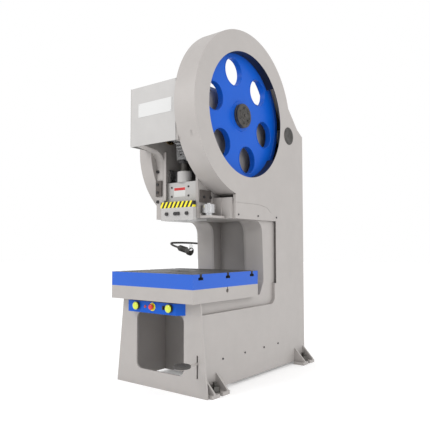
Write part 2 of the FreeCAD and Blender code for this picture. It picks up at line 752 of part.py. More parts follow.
def loop(out, flat=80):
    """Outline of a belt round the wheel and the motor pulley, out mm off both."""
    pts = []
    for i in range(flat + 1):
        a = tilt + lean + (2 * math.pi - 2 * lean) * i / flat
        r = wheel_r + out
        pts.append((fly_y + r * math.cos(a), fly_z + r * math.sin(a)))
    for i in range(13):
        a = tilt - lean + 2 * lean * i / 12
        r = pulley_r + out
        pts.append((motor_y + r * math.cos(a), motor_z + r * math.sin(a)))
    return pts


b = Body("belts")
b.pad("yz", loop(8), 223, 68)
b.pad("yz", loop(0.4), 210, 90, cut=True)
b.done()
b = Body("shaft_cover", (0, motor_y, motor_z))
b.turn([(skin, 0), (skin, 79), (skin + 3, 79), (skin + 3, 60), (skin + 6, 58), (skin + 6, 0)])
b.done()

# ---------------------------------------------------------------- control box
box_y = size("box_front_y", -330)
box_z = size("box_bottom_z", 556)
b = Body("control_box")
b.pad("xy", [(-278, box_y), (207, box_y), (255, front_y), (-278, front_y)], box_z, 84)
for x, r in ((-180, 14.3), (154, 14.3), (-22, 10.3), (95, 8.3)):
    b.cyl("y", x, box_y - 1, box_z + 48, r, 44, cut=True)
b.done()
for name, x in (("left", -180), ("right", 154)):
    b = Body(name + "_button_collar", (x, 0, 0))
    b.cyl("y", 0, box_y - 10, box_z + 48, 25, 10)
    b.cyl("y", 0, box_y - 11, box_z + 48, 14.3, 12, cut=True)
    b.done()
    b = Body(name + "_palm_button", (x, 0, 0))
    b.cyl("y", 0, box_y - 32, box_z + 48, 29, 14)
    b.round(6, lambda e: e.Length > 100 and abs(e.CenterOfMass.y - box_y.num + 32) < 1)
    b.cyl("y", 0, box_y - 20, box_z + 48, 14, 44)
    b.done()
b = Body("stop_ring", (-22, 0, 0))
b.cyl("y", 0, box_y - 4, box_z + 48, 31, 4)
b.cyl("y", 0, box_y - 5, box_z + 48, 10.3, 6, cut=True)
b.done()
b = Body("stop_button", (-22, 0, 0))
b.cyl("y", 0, box_y - 30, box_z + 48, 22, 14)
b.round(5, lambda e: e.Length > 80 and abs(e.CenterOfMass.y - box_y.num + 30) < 1)
b.cyl("y", 0, box_y - 18, box_z + 48, 10, 34)
b.done()
b = Body("selector", (95, 0, 0))
b.cyl("y", 0, box_y - 8, box_z + 48, 16, 8)
b.cyl("y", 0, box_y - 2, box_z + 48, 8, 22)
b.box(-4, box_y - 20, box_z + 34, 8, 13, 28)
b.done()
b = Body("pilot_lamps")
b.cyl("y", -95, box_y - 8, box_z + 46, 11, 8)
b.done()

# ---------------------------------------------------------------- work lamp on a stay-put neck
neck_r = size("lamp_neck_radius", 9)
b = Body("lamp_base").box(-frame - 12, 605, 1040, 12, 80, 72).done()
pts = [(-frame - 13.6, 645, 1076), (-386, 642, 1077), (-401, 618, 1079), (-408, 570, 1081), (-411, 440, 1083),
       (-405, 340, 1082), (-391, 275, 1079), (-366, 247, 1068), (-330, 240.5, 1054.8), (-285.8, 240, 1042.5)]
curve = Part.BSplineCurve()
curve.interpolate([V(p[0].num if isinstance(p[0], Q) else p[0], p[1], p[2]) for p in pts])
path = Part.Wire([curve.toShape()])
ring = Part.Wire([Part.Circle(curve.value(curve.FirstParameter), curve.tangent(curve.FirstParameter)[0],
                              neck_r.num).toShape()])
tube = path.makePipeShell([ring], True, False)
neck = doc.addObject("Part::Feature", "lamp_neck_tube")
neck.Shape = tube
neck.Label = "lamp_neck"
neck.Placement = FreeCAD.Placement()
parts.append(neck)
nod = FreeCAD.Rotation(V(0, 1, 0), 14.4)
b = Body("lamp_head", (-284, 240, 1042))
b.body.Placement = FreeCAD.Placement(b.body.Placement.Base, nod)
b.cyl("x", 0, 0, 0, 26, 150)
b.round(8, lambda e: e.Length > 130 and e.CenterOfMass.x < 1)
b.cyl("x", 120, 0, 0, 34, 34)
b.cyl("x", 138, 0, 0, 29, 20, cut=True)
b.done()
b = Body("lamp_lens", (-284, 240, 1042)).cyl("x", 138, 0, 0, 29, 8)
b.body.Placement = FreeCAD.Placement(b.body.Placement.Base, nod)
b.done()

# ---------------------------------------------------------------- pedal
pedal_x = size("pedal_x", 365)
pedal_z = size("pedal_pivot_z", 232)
b = Body("pedal_pin").cyl("x", frame, -216, pedal_z, 8, skin - frame - 4).done()
b = Body("pedal_lever", (0, -216, pedal_z))
b.cyl("x", pedal_x - 5, 0, 0, 20, 10)
b.box(pedal_x - 5, -228, -8, 10, 224, 16)
b.box(pedal_x - 30, -262, -8, 60, 60, 8)
b.cyl("x", pedal_x - 6, 0, 0, 8 + run_gap, 12, cut=True)
b.done()
b = Body("pedal_pad", (pedal_x, -436, pedal_z)).cyl("z", 0, 0, 0, 60, 22)
b.box(-5.4, -12, -1, 10.8, 90, 9.4, cut=True)
b.done()

# ---------------------------------------------------------------- feet
reach = size("foot_reach", 100)
foot_l = size("foot_length", 200)
foot_th = size("foot_thick", 25)
stud_r = size("anchor_hole_radius", 16)
items = []
studs = []
for sx in (-1, 1):
    for k, y in ((0, -250), (1, 1050)):
        x0 = skin if sx > 0 else -skin - reach
        cx = sx * (skin + reach - 34)
        mid = y + foot_l / 2
        b = Body("foot_%d%d" % (sx, k), keep=False)
        b.box(sx * skin if sx > 0 else -skin - reach, y, 0, reach, foot_l, foot_th)
        b.cyl("z", cx, mid, -1, stud_r, foot_th + 2, cut=True)
        b.box(cx if sx > 0 else cx - 40, mid - stud_r, -1, 40, stud_r * 2, foot_th + 2, cut=True)
        for yy in (y + 18, y + foot_l - 34):
            b.pad("xz", [(sx * skin, foot_th - 1), (sx * (skin + reach), foot_th - 1),
                         (sx * (skin + reach), foot_th + 10), (sx * skin, foot_th + 116)], -yy - 16, 16)
        b.done()
        items.append(b.body)
        studs.append(hexagon("z", sx * (skin + 42), mid, foot_th, 68, 42))
        studs.append(cylinder("z", sx * (skin + 42), mid, foot_th + 42, 17, 26))
group("anchor_feet", items)
group("levelling_bolts", [fuse(studs[i:i + 2]) for i in range(0, 8, 2)])

items = []
for sx in (-1, 1):
    x = skin if sx > 0 else -skin
    for y, z in ((0, 224), (286, 224), (560, 224), (780, 224), (204, 1298), (481, 1298), (770, 1298)):
        items.append(bolt("x", sx, x, y, z, 13, 5))
group("cover_bolts", items)



def named(*labels):
    return [p for p in parts if p.Label in labels]


def pair(name):
    return named("left_" + name, "right_" + name)


group("inner_plates", pair("inner_plate"))
group("outer_plates", pair("outer_plate") + pair("throat_liner"))
group("side_covers", pair("lower_cover") + pair("upper_strip") + pair("skirt") + named("left_column_skin"))
group("cross_walls", named("back_wall", "bed_plate", "bulkhead"))
group("rear_wall", named("rear_plate", "rear_door"))
group("head_covers", named("head_cover", "top_cover"))
group("guide_flanges", pair("flange") + named("guard_web", "left_keeper"))
group("shaft_bearings", pair("back_bearing") + pair("main_bush"))
group("gibs", pair("gib"))
group("gib_plates", pair("gib_plate"))
group("button_rings", pair("button_collar") + named("stop_ring"))
group("ram_fasteners", named("ram_plate_screws", "clamp_nuts"))
group("frame_bolts", named("gib_bolts", "cover_bolts", "cap_bolts"))
group("brake", named("brake_band", "brake_anchor"))
group("motor_rotor", named("motor_pulley", "motor_shaft"))
group("hub_cover", named("hub_cap", "hub_bolts"))
group("ball_housing", named("ball_seat", "seat_cap"))
group("lamp_body", named("lamp_base", "lamp_head"))

doc.recompute()
names = set()
broken = ["%s %s" % (obj.Label, obj.State) for obj in doc.Objects
          if "Invalid" in obj.State or "Error" in obj.State]
if broken:
    raise RuntimeError("; ".join(broken))
os.makedirs("parts", exist_ok=True)
bad = [obj.Label for obj in parts if obj.Shape.isNull() or not obj.Shape.isValid()]
if bad:
    raise RuntimeError("bad shapes: " + ", ".join(bad))
for obj in parts:
    shape = obj.Shape
    if obj.Label in names:
        raise RuntimeError("name used twice " + obj.Label)
    names.add(obj.Label)
    shape.exportStep("parts/%s.step" % obj.Label)
    box = shape.BoundBox
    print("%-22s %2d solids %9.0f cm3  x %7.0f %7.0f  y %7.0f %7.0f  z %7.0f %7.0f" % (
        obj.Label, len(shape.Solids), shape.Volume / 1000.0, box.XMin, box.XMax, box.YMin, box.YMax,
        box.ZMin, box.ZMax))
print(len(parts), "parts written")
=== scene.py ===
"""Mechanical stamping press: finishes, fine parts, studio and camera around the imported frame."""
import math

import bmesh
import bpy
from bpy.props import FloatProperty, FloatVectorProperty, IntProperty, PointerProperty
from bpy.types import Operator, Panel, PropertyGroup
from mathutils import Matrix, Vector


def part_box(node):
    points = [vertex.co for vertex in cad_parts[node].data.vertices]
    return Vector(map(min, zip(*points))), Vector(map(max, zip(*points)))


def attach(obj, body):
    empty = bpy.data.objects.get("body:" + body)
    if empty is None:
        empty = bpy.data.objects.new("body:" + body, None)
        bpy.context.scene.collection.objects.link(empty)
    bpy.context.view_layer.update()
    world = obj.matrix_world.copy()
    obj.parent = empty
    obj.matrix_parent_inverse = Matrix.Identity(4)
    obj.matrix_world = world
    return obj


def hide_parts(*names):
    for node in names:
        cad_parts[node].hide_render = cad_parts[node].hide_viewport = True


bl_info = {
    "name": "Stamping Press Finishes",
    "version": (1, 0, 0),
    "blender": (4, 5, 0),
    "location": "View3D > Sidebar > Press",
    "description": "Paints the stamping press and adds its fine parts, studio and camera",
    "category": "Object",
}

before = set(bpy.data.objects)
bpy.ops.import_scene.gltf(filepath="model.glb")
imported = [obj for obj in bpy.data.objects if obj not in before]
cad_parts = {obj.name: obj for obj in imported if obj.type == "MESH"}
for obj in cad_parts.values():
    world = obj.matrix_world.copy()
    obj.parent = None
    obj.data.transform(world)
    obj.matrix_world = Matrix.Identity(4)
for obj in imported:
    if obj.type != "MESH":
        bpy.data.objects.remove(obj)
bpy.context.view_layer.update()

FRAME = "frame"
RAM = "ram"
AXIS_Y = sum(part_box("wheel")[i][1] for i in (0, 1)) / 2
AXIS_Z = sum(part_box("wheel")[i][2] for i in (0, 1)) / 2
MOTOR_Y = sum(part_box("shaft_cover")[i][1] for i in (0, 1)) / 2
MOTOR_Z = sum(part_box("shaft_cover")[i][2] for i in (0, 1)) / 2
PIN_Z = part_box("rod_cap")[0][2]
BOX_Y, BOX_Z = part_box("control_box")[0][1:]
HOLE_R = 0.112
SCREW_R = 0.033
BALL_R = 0.044
BALL_Z = 1.608
HOLE_PITCH = 0.362
GUARD_R = 0.5095
LAMP_TURN = math.radians(14.4)
NECK = ((-0.3676, 0.645, 1.076), (-0.386, 0.642, 1.077), (-0.401, 0.618, 1.079), (-0.408, 0.570, 1.081),
        (-0.411, 0.440, 1.083), (-0.405, 0.340, 1.082), (-0.391, 0.275, 1.079), (-0.366, 0.247, 1.068),
        (-0.330, 0.2405, 1.0548), (-0.2858, 0.240, 1.0425))


# ---------------------------------------------------------------- settings
def colour(name, note, value):
    return FloatVectorProperty(name=name, description=note, default=value, subtype="COLOR",
                               size=3, min=0.0, max=1.0)


def length(name, note, value):
    return FloatProperty(name=name, description=note, default=value, subtype="DISTANCE",
                         unit="LENGTH", min=0.0)


class PressColours(PropertyGroup):
    """Colours of the press's finishes."""
    body: colour("Body paint", "Warm light grey of the frame", (0.375, 0.352, 0.338))
    head: colour("Head paint", "Paler grey of the head and the ram", (0.43, 0.42, 0.412))
    blue: colour("Blue paint", "Wheel, bolster edge and button box", (0.002, 0.088, 0.50))
    table: colour("Table top", "Oiled machined top of the bolster", (0.060, 0.059, 0.058))
    black: colour("Black finish", "Oxide black of screws and covers", (0.022, 0.022, 0.024))
    palm: colour("Palm buttons", "Yellow-green of the two palm buttons", (0.60, 0.68, 0.045))
    stop: colour("Stop button", "Red of the stop button", (0.62, 0.012, 0.012))
    yellow: colour("Yellow", "Stop ring and hazard stripes", (0.86, 0.74, 0.02))
    floor: colour("Floor", "Pale studio floor", (0.90, 0.90, 0.90))


class PressSizes(PropertyGroup):
    """Sizes of the fine parts."""
    thread: length("Thread pitch", "Pitch of the ram's adjusting screw", 0.009)
    rib: length("Conduit rib pitch", "Distance between ribs of the lamp's neck", 0.0085)
    bead: length("Weld bead width", "Width of the weld beads on feet and frame", 0.009)
    stripe: length("Stripe pitch", "Distance from one yellow stripe to the next", 0.042)
    sides: IntProperty(name="Round sides", description="Facets of a turned piece", default=96,
                       min=24, max=256)
    lens: FloatProperty(name="Camera lens", description="Focal length of the camera",
                        default=43.196, subtype="DISTANCE_CAMERA")


# ---------------------------------------------------------------- node group tools
class Sheet:
    """A node tree with short calls for adding and joining nodes."""

    def __init__(self, tree):
        self.tree = tree

    def add(self, kind, links=None, **settings):
        node = self.tree.nodes.new("ShaderNode" + kind)
        for key, value in settings.items():
            setattr(node, key, value)
        for key, value in (links or {}).items():
            self.feed(node.inputs[key], value)
        return node

    def feed(self, socket, value):
        if isinstance(value, bpy.types.NodeSocket):
            self.tree.links.new(value, socket)
        else:
            socket.default_value = value

    def calc(self, operation, a, b=0.0, c=None, clamp=False):
        node = self.add("Math", {0: a, 1: b}, operation=operation, use_clamp=clamp)
        if c is not None:
            self.feed(node.inputs[2], c)
        return node.outputs[0]

    def ramp(self, value, low, high, to_low=0.0, to_high=1.0):
        links = {"Value": value, "From Min": low, "From Max": high, "To Min": to_low, "To Max": to_high}
        return self.add("MapRange", links).outputs["Result"]

    def mix(self, factor, a, b, blend="MIX"):
        node = self.add("Mix", data_type="RGBA", blend_type=blend)
        self.feed(node.inputs[0], factor)
        self.feed(node.inputs[6], a)
        self.feed(node.inputs[7], b)
        return node.outputs[2]

    def noise(self, vector, scale, detail=3.0, rough=0.55):
        links = {"Vector": vector, "Scale": scale, "Detail": detail, "Roughness": rough}
        return self.add("TexNoise", links).outputs["Fac"]

    def place(self):
        return self.add("TexCoord").outputs["Object"]

    def stretch(self, vector, scale):
        return self.add("Mapping", {"Vector": vector, "Scale": scale}).outputs["Vector"]


def effect(name, inputs, outputs):
    """A new shader node group with the named sockets; inputs are (name, kind, default)."""
    group = bpy.data.node_groups.new(name, "ShaderNodeTree")
    for label, kind, value in inputs:
        socket = group.interface.new_socket(name=label, in_out="INPUT", socket_type="NodeSocket" + kind)
        socket.default_value = value
    for label, kind in outputs:
        group.interface.new_socket(name=label, in_out="OUTPUT", socket_type="NodeSocket" + kind)
    sheet = Sheet(group)
    start = group.nodes.new("NodeGroupInput").outputs
    end = group.nodes.new("NodeGroupOutput").inputs
    return group, sheet, start, end


def sprayed_paint():
    """Enamel over plate: slow colour drift, orange peel, settled dust, painted shade in hollows and worn
    edges with a painted highlight.
    """
    group, s, start, end = effect(
        "sprayed_paint",
        [("Colour", "Color", (0.5, 0.5, 0.5, 1)), ("Drift", "Float", 0.06), ("Dust", "Float", 0.10),
         ("Grime", "Float", 0.25), ("Rub", "Float", 0.25), ("Gloss", "Float", 0.38)],
        [("Colour", "Color"), ("Roughness", "Float"), ("Height", "Float")])
    place = s.place()
    slow = s.noise(place, 1.7, 4.0)
    patch = s.noise(place, 9.0, 5.0, 0.6)
    drift = s.calc("MULTIPLY", s.calc("SUBTRACT", s.calc("ADD", slow, patch), 1.0), start["Drift"])
    light = s.calc("ADD", 1.0, s.calc("MULTIPLY", drift, 2.0))
    tinted = s.mix(1.0, start["Colour"], s.add("CombineXYZ", {0: light, 1: light, 2: light}).outputs[0],
                   "MULTIPLY")
    up = s.add("SeparateXYZ", {0: s.add("NewGeometry").outputs["Normal"]}).outputs["Z"]
    lying = s.calc("MULTIPLY", s.ramp(up, 0.35, 0.98), s.ramp(s.noise(place, 6.0, 6.0), 0.35, 0.7))
    dusty = s.mix(s.calc("MULTIPLY", lying, start["Dust"]), tinted, (0.42, 0.39, 0.35, 1))
    # painted shade: ambient occlusion darkens hollows, creases and the gaps between parts towards dark
    # brown, in patches
    nook = s.add("AmbientOcclusion", {"Distance": 0.09}, samples=6).outputs["AO"]
    hollow_shade = s.calc("MULTIPLY", s.ramp(nook, 0.75, 0.25), s.ramp(patch, 0.3, 0.65))
    shaded_paint = s.mix(s.calc("MULTIPLY", hollow_shade, start["Grime"]), dusty, (0.07, 0.06, 0.05, 1))
    # edges: paint rubbed through to metal, lightened further as a painted highlight
    edge = worn_and_glinting_edge(s, 0.0035)
    rub_and_glint = s.calc("MULTIPLY", edge, s.ramp(s.noise(place, 38.0, 6.0, 0.7), 0.50, 0.62))
    s.feed(end["Colour"], s.mix(s.calc("MULTIPLY", rub_and_glint, start["Rub"]), shaded_paint, (0.70, 0.69, 0.67, 1)))
    streak = s.noise(s.stretch(place, (60.0, 60.0, 4.0)), 1.0, 3.0)
    gloss = s.calc("ADD", start["Gloss"], s.calc("MULTIPLY", s.calc("SUBTRACT", streak, 0.5), 0.10))
    s.feed(end["Roughness"], s.calc("ADD", gloss, s.calc("MULTIPLY", lying, 0.22), clamp=True))
    peel = s.noise(place, 260.0, 2.0)
    s.feed(end["Height"], s.calc("ADD", s.calc("MULTIPLY", peel, 0.35), s.calc("MULTIPLY", slow, 0.9)))
    return group


def worn_and_glinting_edge(s, radius):
    """1 on an outer edge, 0 on a flat face."""
    soft = s.add("Bevel", {"Radius": radius}, samples=4).outputs[0]
    flat = s.add("NewGeometry").outputs["Normal"]
    same = s.add("VectorMath", {0: soft, 1: flat}, operation="DOT_PRODUCT").outputs["Value"]
    return s.ramp(same, 0.995, 0.90)


def machined_steel():
    """Cutter lines along one axis, oil film and fine scratches."""
    group, s, start, end = effect(
        "machined_steel",
        [("Colour", "Color", (0.5, 0.5, 0.5, 1)), ("Lines", "Vector", (8.0, 420.0, 8.0)),
         ("Oil", "Float", 0.3), ("Gloss", "Float", 0.30)],
        [("Colour", "Color"), ("Roughness", "Float"), ("Height", "Float")])
    place = s.place()
    lined = s.add("VectorMath", {0: place, 1: start["Lines"]}, operation="MULTIPLY").outputs["Vector"]
    cut = s.noise(lined, 1.0, 2.0)
    film = s.ramp(s.noise(place, 5.0, 6.0, 0.65), 0.35, 0.70)
    shade = s.ramp(cut, 0.3, 0.7, 0.86, 1.12)
    lit = s.mix(1.0, start["Colour"], s.add("CombineXYZ", {0: shade, 1: shade, 2: shade}).outputs[0],
                "MULTIPLY")
    s.feed(end["Colour"], s.mix(s.calc("MULTIPLY", film, start["Oil"]), lit, (0.075, 0.062, 0.045, 1)))
    gloss = s.calc("ADD", start["Gloss"], s.calc("MULTIPLY", s.calc("SUBTRACT", cut, 0.5), 0.25))
    s.feed(end["Roughness"], s.calc("SUBTRACT", gloss, s.calc("MULTIPLY", film, 0.10), clamp=True))
    s.feed(end["Height"], cut)
    return group


def sand_casting():
    """Grainy skin of cast iron and of moulded or oxide-black parts."""
    group, s, start, end = effect(
        "sand_casting",
        [("Colour", "Color", (0.2, 0.2, 0.2, 1)), ("Grain", "Float", 180.0), ("Spots", "Float", 0.3),
         ("Gloss", "Float", 0.5)],
        [("Colour", "Color"), ("Roughness", "Float"), ("Height", "Float")])
    place = s.place()
    grain = s.noise(place, start["Grain"], 4.0, 0.7)
    spot = s.ramp(s.noise(place, 22.0, 5.0, 0.6), 0.40, 0.66)
    # edges lightened towards grey: wear and a painted highlight
    edge = worn_and_glinting_edge(s, 0.0015)
    rough = s.mix(s.calc("MULTIPLY", spot, start["Spots"]), start["Colour"], (0.11, 0.10, 0.095, 1))
    s.feed(end["Colour"], s.mix(s.calc("MULTIPLY", edge, 0.35), rough, (0.30, 0.30, 0.30, 1)))
    s.feed(end["Roughness"], s.calc("ADD", start["Gloss"], s.calc("MULTIPLY", spot, 0.12), clamp=True))
    s.feed(end["Height"], grain)
    return group


EFFECTS = {}


def build_effects():
    EFFECTS.update(paint=sprayed_paint(), steel=machined_steel(), cast=sand_casting())


def finish(name, group, values, bump=0.1, depth=0.0004, metal=0.0, specular=0.5, coat=0.0, extra=None):
    """A material whose colour, roughness and bump come from one of the shared effects."""
    material = bpy.data.materials.new(name)
    material.use_nodes = True
    s = Sheet(material.node_tree)
    shader = material.node_tree.nodes["Principled BSDF"]
    worked = s.add("Group")
    worked.node_tree = EFFECTS[group]
    for key, value in values.items():
        s.feed(worked.inputs[key], value)
    tint = worked.outputs["Colour"]
    if extra:
        tint = extra(s, worked)
    s.feed(shader.inputs["Base Color"], tint)
    s.feed(shader.inputs["Roughness"], worked.outputs["Roughness"])
    raised = s.add("Bump", {"Height": worked.outputs["Height"], "Strength": bump, "Distance": depth})
    s.feed(shader.inputs["Normal"], raised.outputs["Normal"])
    shader.inputs["Metallic"].default_value = metal
    shader.inputs["Specular IOR Level"].default_value = specular
    shader.inputs["Coat Weight"].default_value = coat
    shader.inputs["Coat Roughness"].default_value = 0.12
    return material


def paint(name, tint, **values):
    settings = {"Colour": (*tint, 1)}
    settings.update(values)
    return finish(name, "paint", settings, bump=0.22, depth=0.0006)


def hazard(s, worked):
    """Slanted yellow and black bands; the slant follows the plate's height."""
    pitch = bpy.context.scene.press_sizes.stripe
    split = s.add("SeparateXYZ", {0: s.place()}).outputs
    slide = s.calc("SUBTRACT", split["X"], s.calc("MULTIPLY", split["Z"], 0.55))
    turn = s.calc("FRACT", s.calc("DIVIDE", s.calc("ADD", slide, 3.7345), pitch))
    black = s.calc("GREATER_THAN", turn, 0.48)
    yellow = (*bpy.context.scene.press_colours.yellow, 1)
    band = s.mix(black, yellow, (0.012, 0.012, 0.012, 1))
    s.feed(worked.inputs["Colour"], band)
    return worked.outputs["Colour"]


def bolster_sides(s, worked):
    """Blue on the bolster's sides, oiled steel on its top and in its slots."""
    colours = bpy.context.scene.press_colours
    facing = s.add("NewGeometry").outputs["Normal"]
    up = s.add("SeparateXYZ", {0: facing}).outputs["Z"]
    across = s.add("SeparateXYZ", {0: s.place()}).outputs
    rim = s.calc("GREATER_THAN", s.calc("ABSOLUTE", across["X"]), 0.4135)
    ends = s.calc("GREATER_THAN", s.calc("ABSOLUTE", s.calc("SUBTRACT", across["Y"], 0.020)), 0.3995)
    side = s.calc("MULTIPLY", s.calc("MAXIMUM", rim, ends), s.calc("LESS_THAN", up, 0.5))
    cut = s.noise(s.stretch(s.place(), (6.0, 300.0, 6.0)), 1.0, 3.0)
    film = s.ramp(s.noise(s.place(), 7.0, 6.0, 0.65), 0.3, 0.7)
    top = s.mix(cut, (*[c * 0.72 for c in colours.table], 1), (*[c * 1.35 for c in colours.table], 1))
    oiled = s.mix(s.calc("MULTIPLY", film, 0.45), top, (0.07, 0.064, 0.055, 1))
    s.feed(worked.inputs["Colour"], s.mix(side, oiled, (*colours.blue, 1)))
    return worked.outputs["Colour"]


def guard_sides(s, worked):
    """Grey on the guard; painted shade, near-black navy, on the deep collar round its opening."""
    colours = bpy.context.scene.press_colours
    split = s.add("SeparateXYZ", {0: s.place()}).outputs
    along = s.calc("SUBTRACT", split["Y"], AXIS_Y)
    tall = s.calc("SUBTRACT", split["Z"], AXIS_Z)
    away = s.calc("SQRT", s.calc("ADD", s.calc("MULTIPLY", along, along), s.calc("MULTIPLY", tall, tall)))
    # the collar's near-black navy is painted shade, not the guard's own colour
    collar = s.calc("MULTIPLY", s.calc("LESS_THAN", away, GUARD_R), s.calc("LESS_THAN", split["X"], 0.3785))
    s.feed(worked.inputs["Colour"], s.mix(collar, (*colours.body, 1), (0.006, 0.009, 0.022, 1)))
    return worked.outputs["Colour"]


FINISHES = {}


def build_finishes(colours):
    """Every finish of the press, each under a plain name."""
    grey, pale, blue = colours.body, colours.head, colours.blue
    FINISHES.update(
        grey=paint("grey_enamel", grey, Dust=0.10, Grime=0.30, Rub=0.22, Gloss=0.40),
        pale=paint("pale_enamel", pale, Dust=0.06, Grime=0.28, Rub=0.20, Gloss=0.36),
        guard=finish("guard_enamel", "paint", {"Dust": 0.06, "Grime": 0.28, "Rub": 0.20, "Gloss": 0.40},
                     bump=0.22, depth=0.0006, extra=guard_sides),
        plate=paint("plain_plate", (0.58, 0.58, 0.575), Drift=0.03, Dust=0.03, Grime=0.15, Rub=0.10,
                    Gloss=0.30),
        # inner: the frame grey darkened as painted shade for the walls deep inside the frame
        inner=paint("inner_shaded_enamel", tuple(c * 0.86 for c in grey), Dust=0.12, Grime=0.45, Rub=0.10,
                    Gloss=0.55),
        blue=finish("blue_enamel", "paint", {"Colour": (*blue, 1), "Drift": 0.05, "Dust": 0.02,
                                             "Grime": 0.30, "Rub": 0.14, "Gloss": 0.36},
                    bump=0.22, depth=0.0006, specular=0.2),
        red=paint("red_enamel", (0.50, 0.02, 0.02), Drift=0.03, Dust=0.02, Rub=0.1, Gloss=0.34),
        bead=paint("weld_bead", tuple(c * 0.86 for c in grey), Drift=0.08, Dust=0.10, Grime=0.5,
                   Rub=0.1, Gloss=0.45),
        steel=finish("turned_steel", "steel", {"Colour": (0.56, 0.56, 0.57, 1), "Oil": 0.25}, metal=0.9),
        dull=finish("oiled_steel", "steel", {"Colour": (0.16, 0.155, 0.15, 1), "Oil": 0.5,
                                             "Gloss": 0.42}, metal=0.55),
        # gib iron: dark greasy iron, kept this dark also as painted shade of the gap beside the ram
        gib=finish("gib_iron_shaded", "cast", {"Colour": (0.075, 0.062, 0.055, 1), "Spots": 0.6,
                                        "Gloss": 0.50}, bump=0.3, metal=0.25),
        bronze=finish("bush_bronze", "steel", {"Colour": (0.50, 0.34, 0.14, 1)}, metal=0.9),
        cast=finish("grey_casting", "cast", {"Colour": (0.25, 0.25, 0.25, 1), "Grain": 150.0},
                    bump=0.45, depth=0.0012, metal=0.3),
        black=finish("oxide_black", "cast", {"Colour": (*colours.black, 1), "Grain": 320.0,
                                             "Gloss": 0.42}, bump=0.2, metal=0.35),
        cap=finish("cover_black", "cast", {"Colour": (0.032, 0.030, 0.027, 1), "Grain": 120.0,
                                           "Spots": 0.5, "Gloss": 0.46}, bump=0.3, metal=0.2),
        thread=finish("screw_steel", "steel", {"Colour": (0.10, 0.098, 0.095, 1), "Oil": 0.5,
                                               "Gloss": 0.36}, metal=0.7),
        rubber=finish("belt_rubber", "cast", {"Colour": (0.018, 0.018, 0.018, 1), "Grain": 500.0,
                                              "Gloss": 0.72}, bump=0.35),
        pad=finish("pedal_rubber", "cast", {"Colour": (0.045, 0.042, 0.040, 1), "Grain": 380.0,
                                            "Gloss": 0.62}, bump=0.35),
        palm=plastic("palm_plastic", colours.palm),
        stop=plastic("stop_plastic", colours.stop),
        ring=plastic("ring_plastic", colours.yellow),
        knob=plastic("knob_plastic", (0.020, 0.020, 0.022)),
        pilot=plastic("pilot_plastic", (0.42, 0.018, 0.018)),
        stripes=finish("hazard_paint", "paint", {"Drift": 0.03, "Dust": 0.02, "Grime": 0.2, "Rub": 0.3,
                                                 "Gloss": 0.34}, bump=0.15, extra=hazard),
        bolster=finish("bolster_finish", "paint", {"Drift": 0.04, "Dust": 0.0, "Grime": 0.25,
                                                   "Rub": 0.20, "Gloss": 0.40}, bump=0.18,
                       extra=bolster_sides),
        lens=frosted("lamp_glass"),
    )


def plastic(name, tint):
    """Moulded plastic with faint mottling and finger grease."""
    return finish(name, "paint", {"Colour": (*tint, 1), "Drift": 0.04, "Dust": 0.03, "Grime": 0.18,
                                  "Rub": 0.0, "Gloss": 0.26}, bump=0.06, depth=0.0003, coat=0.35)


def frosted(name):
    """The lamp's frosted lens, faintly lit, with painted shade towards its rim."""
    material = finish(name, "paint", {"Colour": (0.86, 0.88, 0.88, 1), "Drift": 0.02, "Grime": 0.1,
                                      "Rub": 0.0, "Gloss": 0.22}, bump=0.1)
    s = Sheet(material.node_tree)
    shader = material.node_tree.nodes["Principled BSDF"]
    glow = s.ramp(s.noise(s.place(), 90.0, 3.0), 0.2, 0.8, 0.75, 1.0)
    s.feed(shader.inputs["Emission Color"], s.add("CombineXYZ", {0: glow, 1: glow, 2: glow}).outputs[0])
    shader.inputs["Emission Strength"].default_value = 0.35
    return material


NODE_FINISH = {
    "guard": "wheel_guard",
    "grey": ("front_plate left_guard table stop_bracket motor_shelf anchor_feet "
             "outer_plates side_covers rear_wall guide_flanges pedal_lever"),
    # inner parts take the darker grey that paints their shade
    "inner": "inner_plates cross_walls",
    "pale": "head_covers ram ram_front_plate shank_clamp ball_housing",
    "plate": "name_plate warning_plate",
    "blue": "wheel control_box",
    "bolster": "bolster",
    "stripes": "stripe_plate",
    "steel": "back_shaft pinion crankshaft stop_collar knockout_bar gibs pedal_pin",
    "dull": "brake",
    "gib": "gib_plates",
    "bronze": "shaft_bearings",
    "cast": "bull_gear brake_drum rod_cap connecting_rod motor motor_rotor",
    "black": "levelling_bolts frame_bolts ram_fasteners adjusting_screw",
    "cap": "hub_cover shaft_cover lamp_body lamp_neck",
    "rubber": "belts",
    "pad": "pedal_pad",
    "palm": "left_palm_button right_palm_button",
    "stop": "stop_button",
    "ring": "button_rings",
    "knob": "selector",
    "pilot": "pilot_lamps",
    "lens": "lamp_lens",
}


def coat(obj, material):
    obj.data.materials.clear()
    obj.data.materials.append(material)


# ---------------------------------------------------------------- piece tools
def piece(name, mesh, material, body, smooth=40.0, bevel=0.0):
    """A new object of the press that rides on one of its bodies."""
    obj = bpy.data.objects.new(name, mesh)
    bpy.context.scene.collection.objects.link(obj)
    coat(obj, FINISHES[material])
    mesh.polygons.foreach_set("use_smooth", [True] * len(mesh.polygons))
    mesh.set_sharp_from_angle(angle=math.radians(smooth))
    if bevel:
        rounding = obj.modifiers.new("rounding", "BEVEL")
        rounding.width = bevel
        rounding.segments = 2
        rounding.limit_method = "ANGLE"
        rounding.angle_limit = math.radians(32)
        rounding.harden_normals = True
    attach(obj, body)
    return obj


def mesh_from(name, bm):
    mesh = bpy.data.meshes.new(name)
    bmesh.ops.remove_doubles(bm, verts=bm.verts, dist=1e-6)
    bmesh.ops.recalc_face_normals(bm, faces=bm.faces)
    bm.to_mesh(mesh)
    bm.free()
    return mesh


AXES = {
    "x": Matrix(((0, 0, 1), (1, 0, 0), (0, 1, 0))),
    "-y": Matrix(((1, 0, 0), (0, 0, -1), (0, 1, 0))),
    "z": Matrix.Identity(3),
}


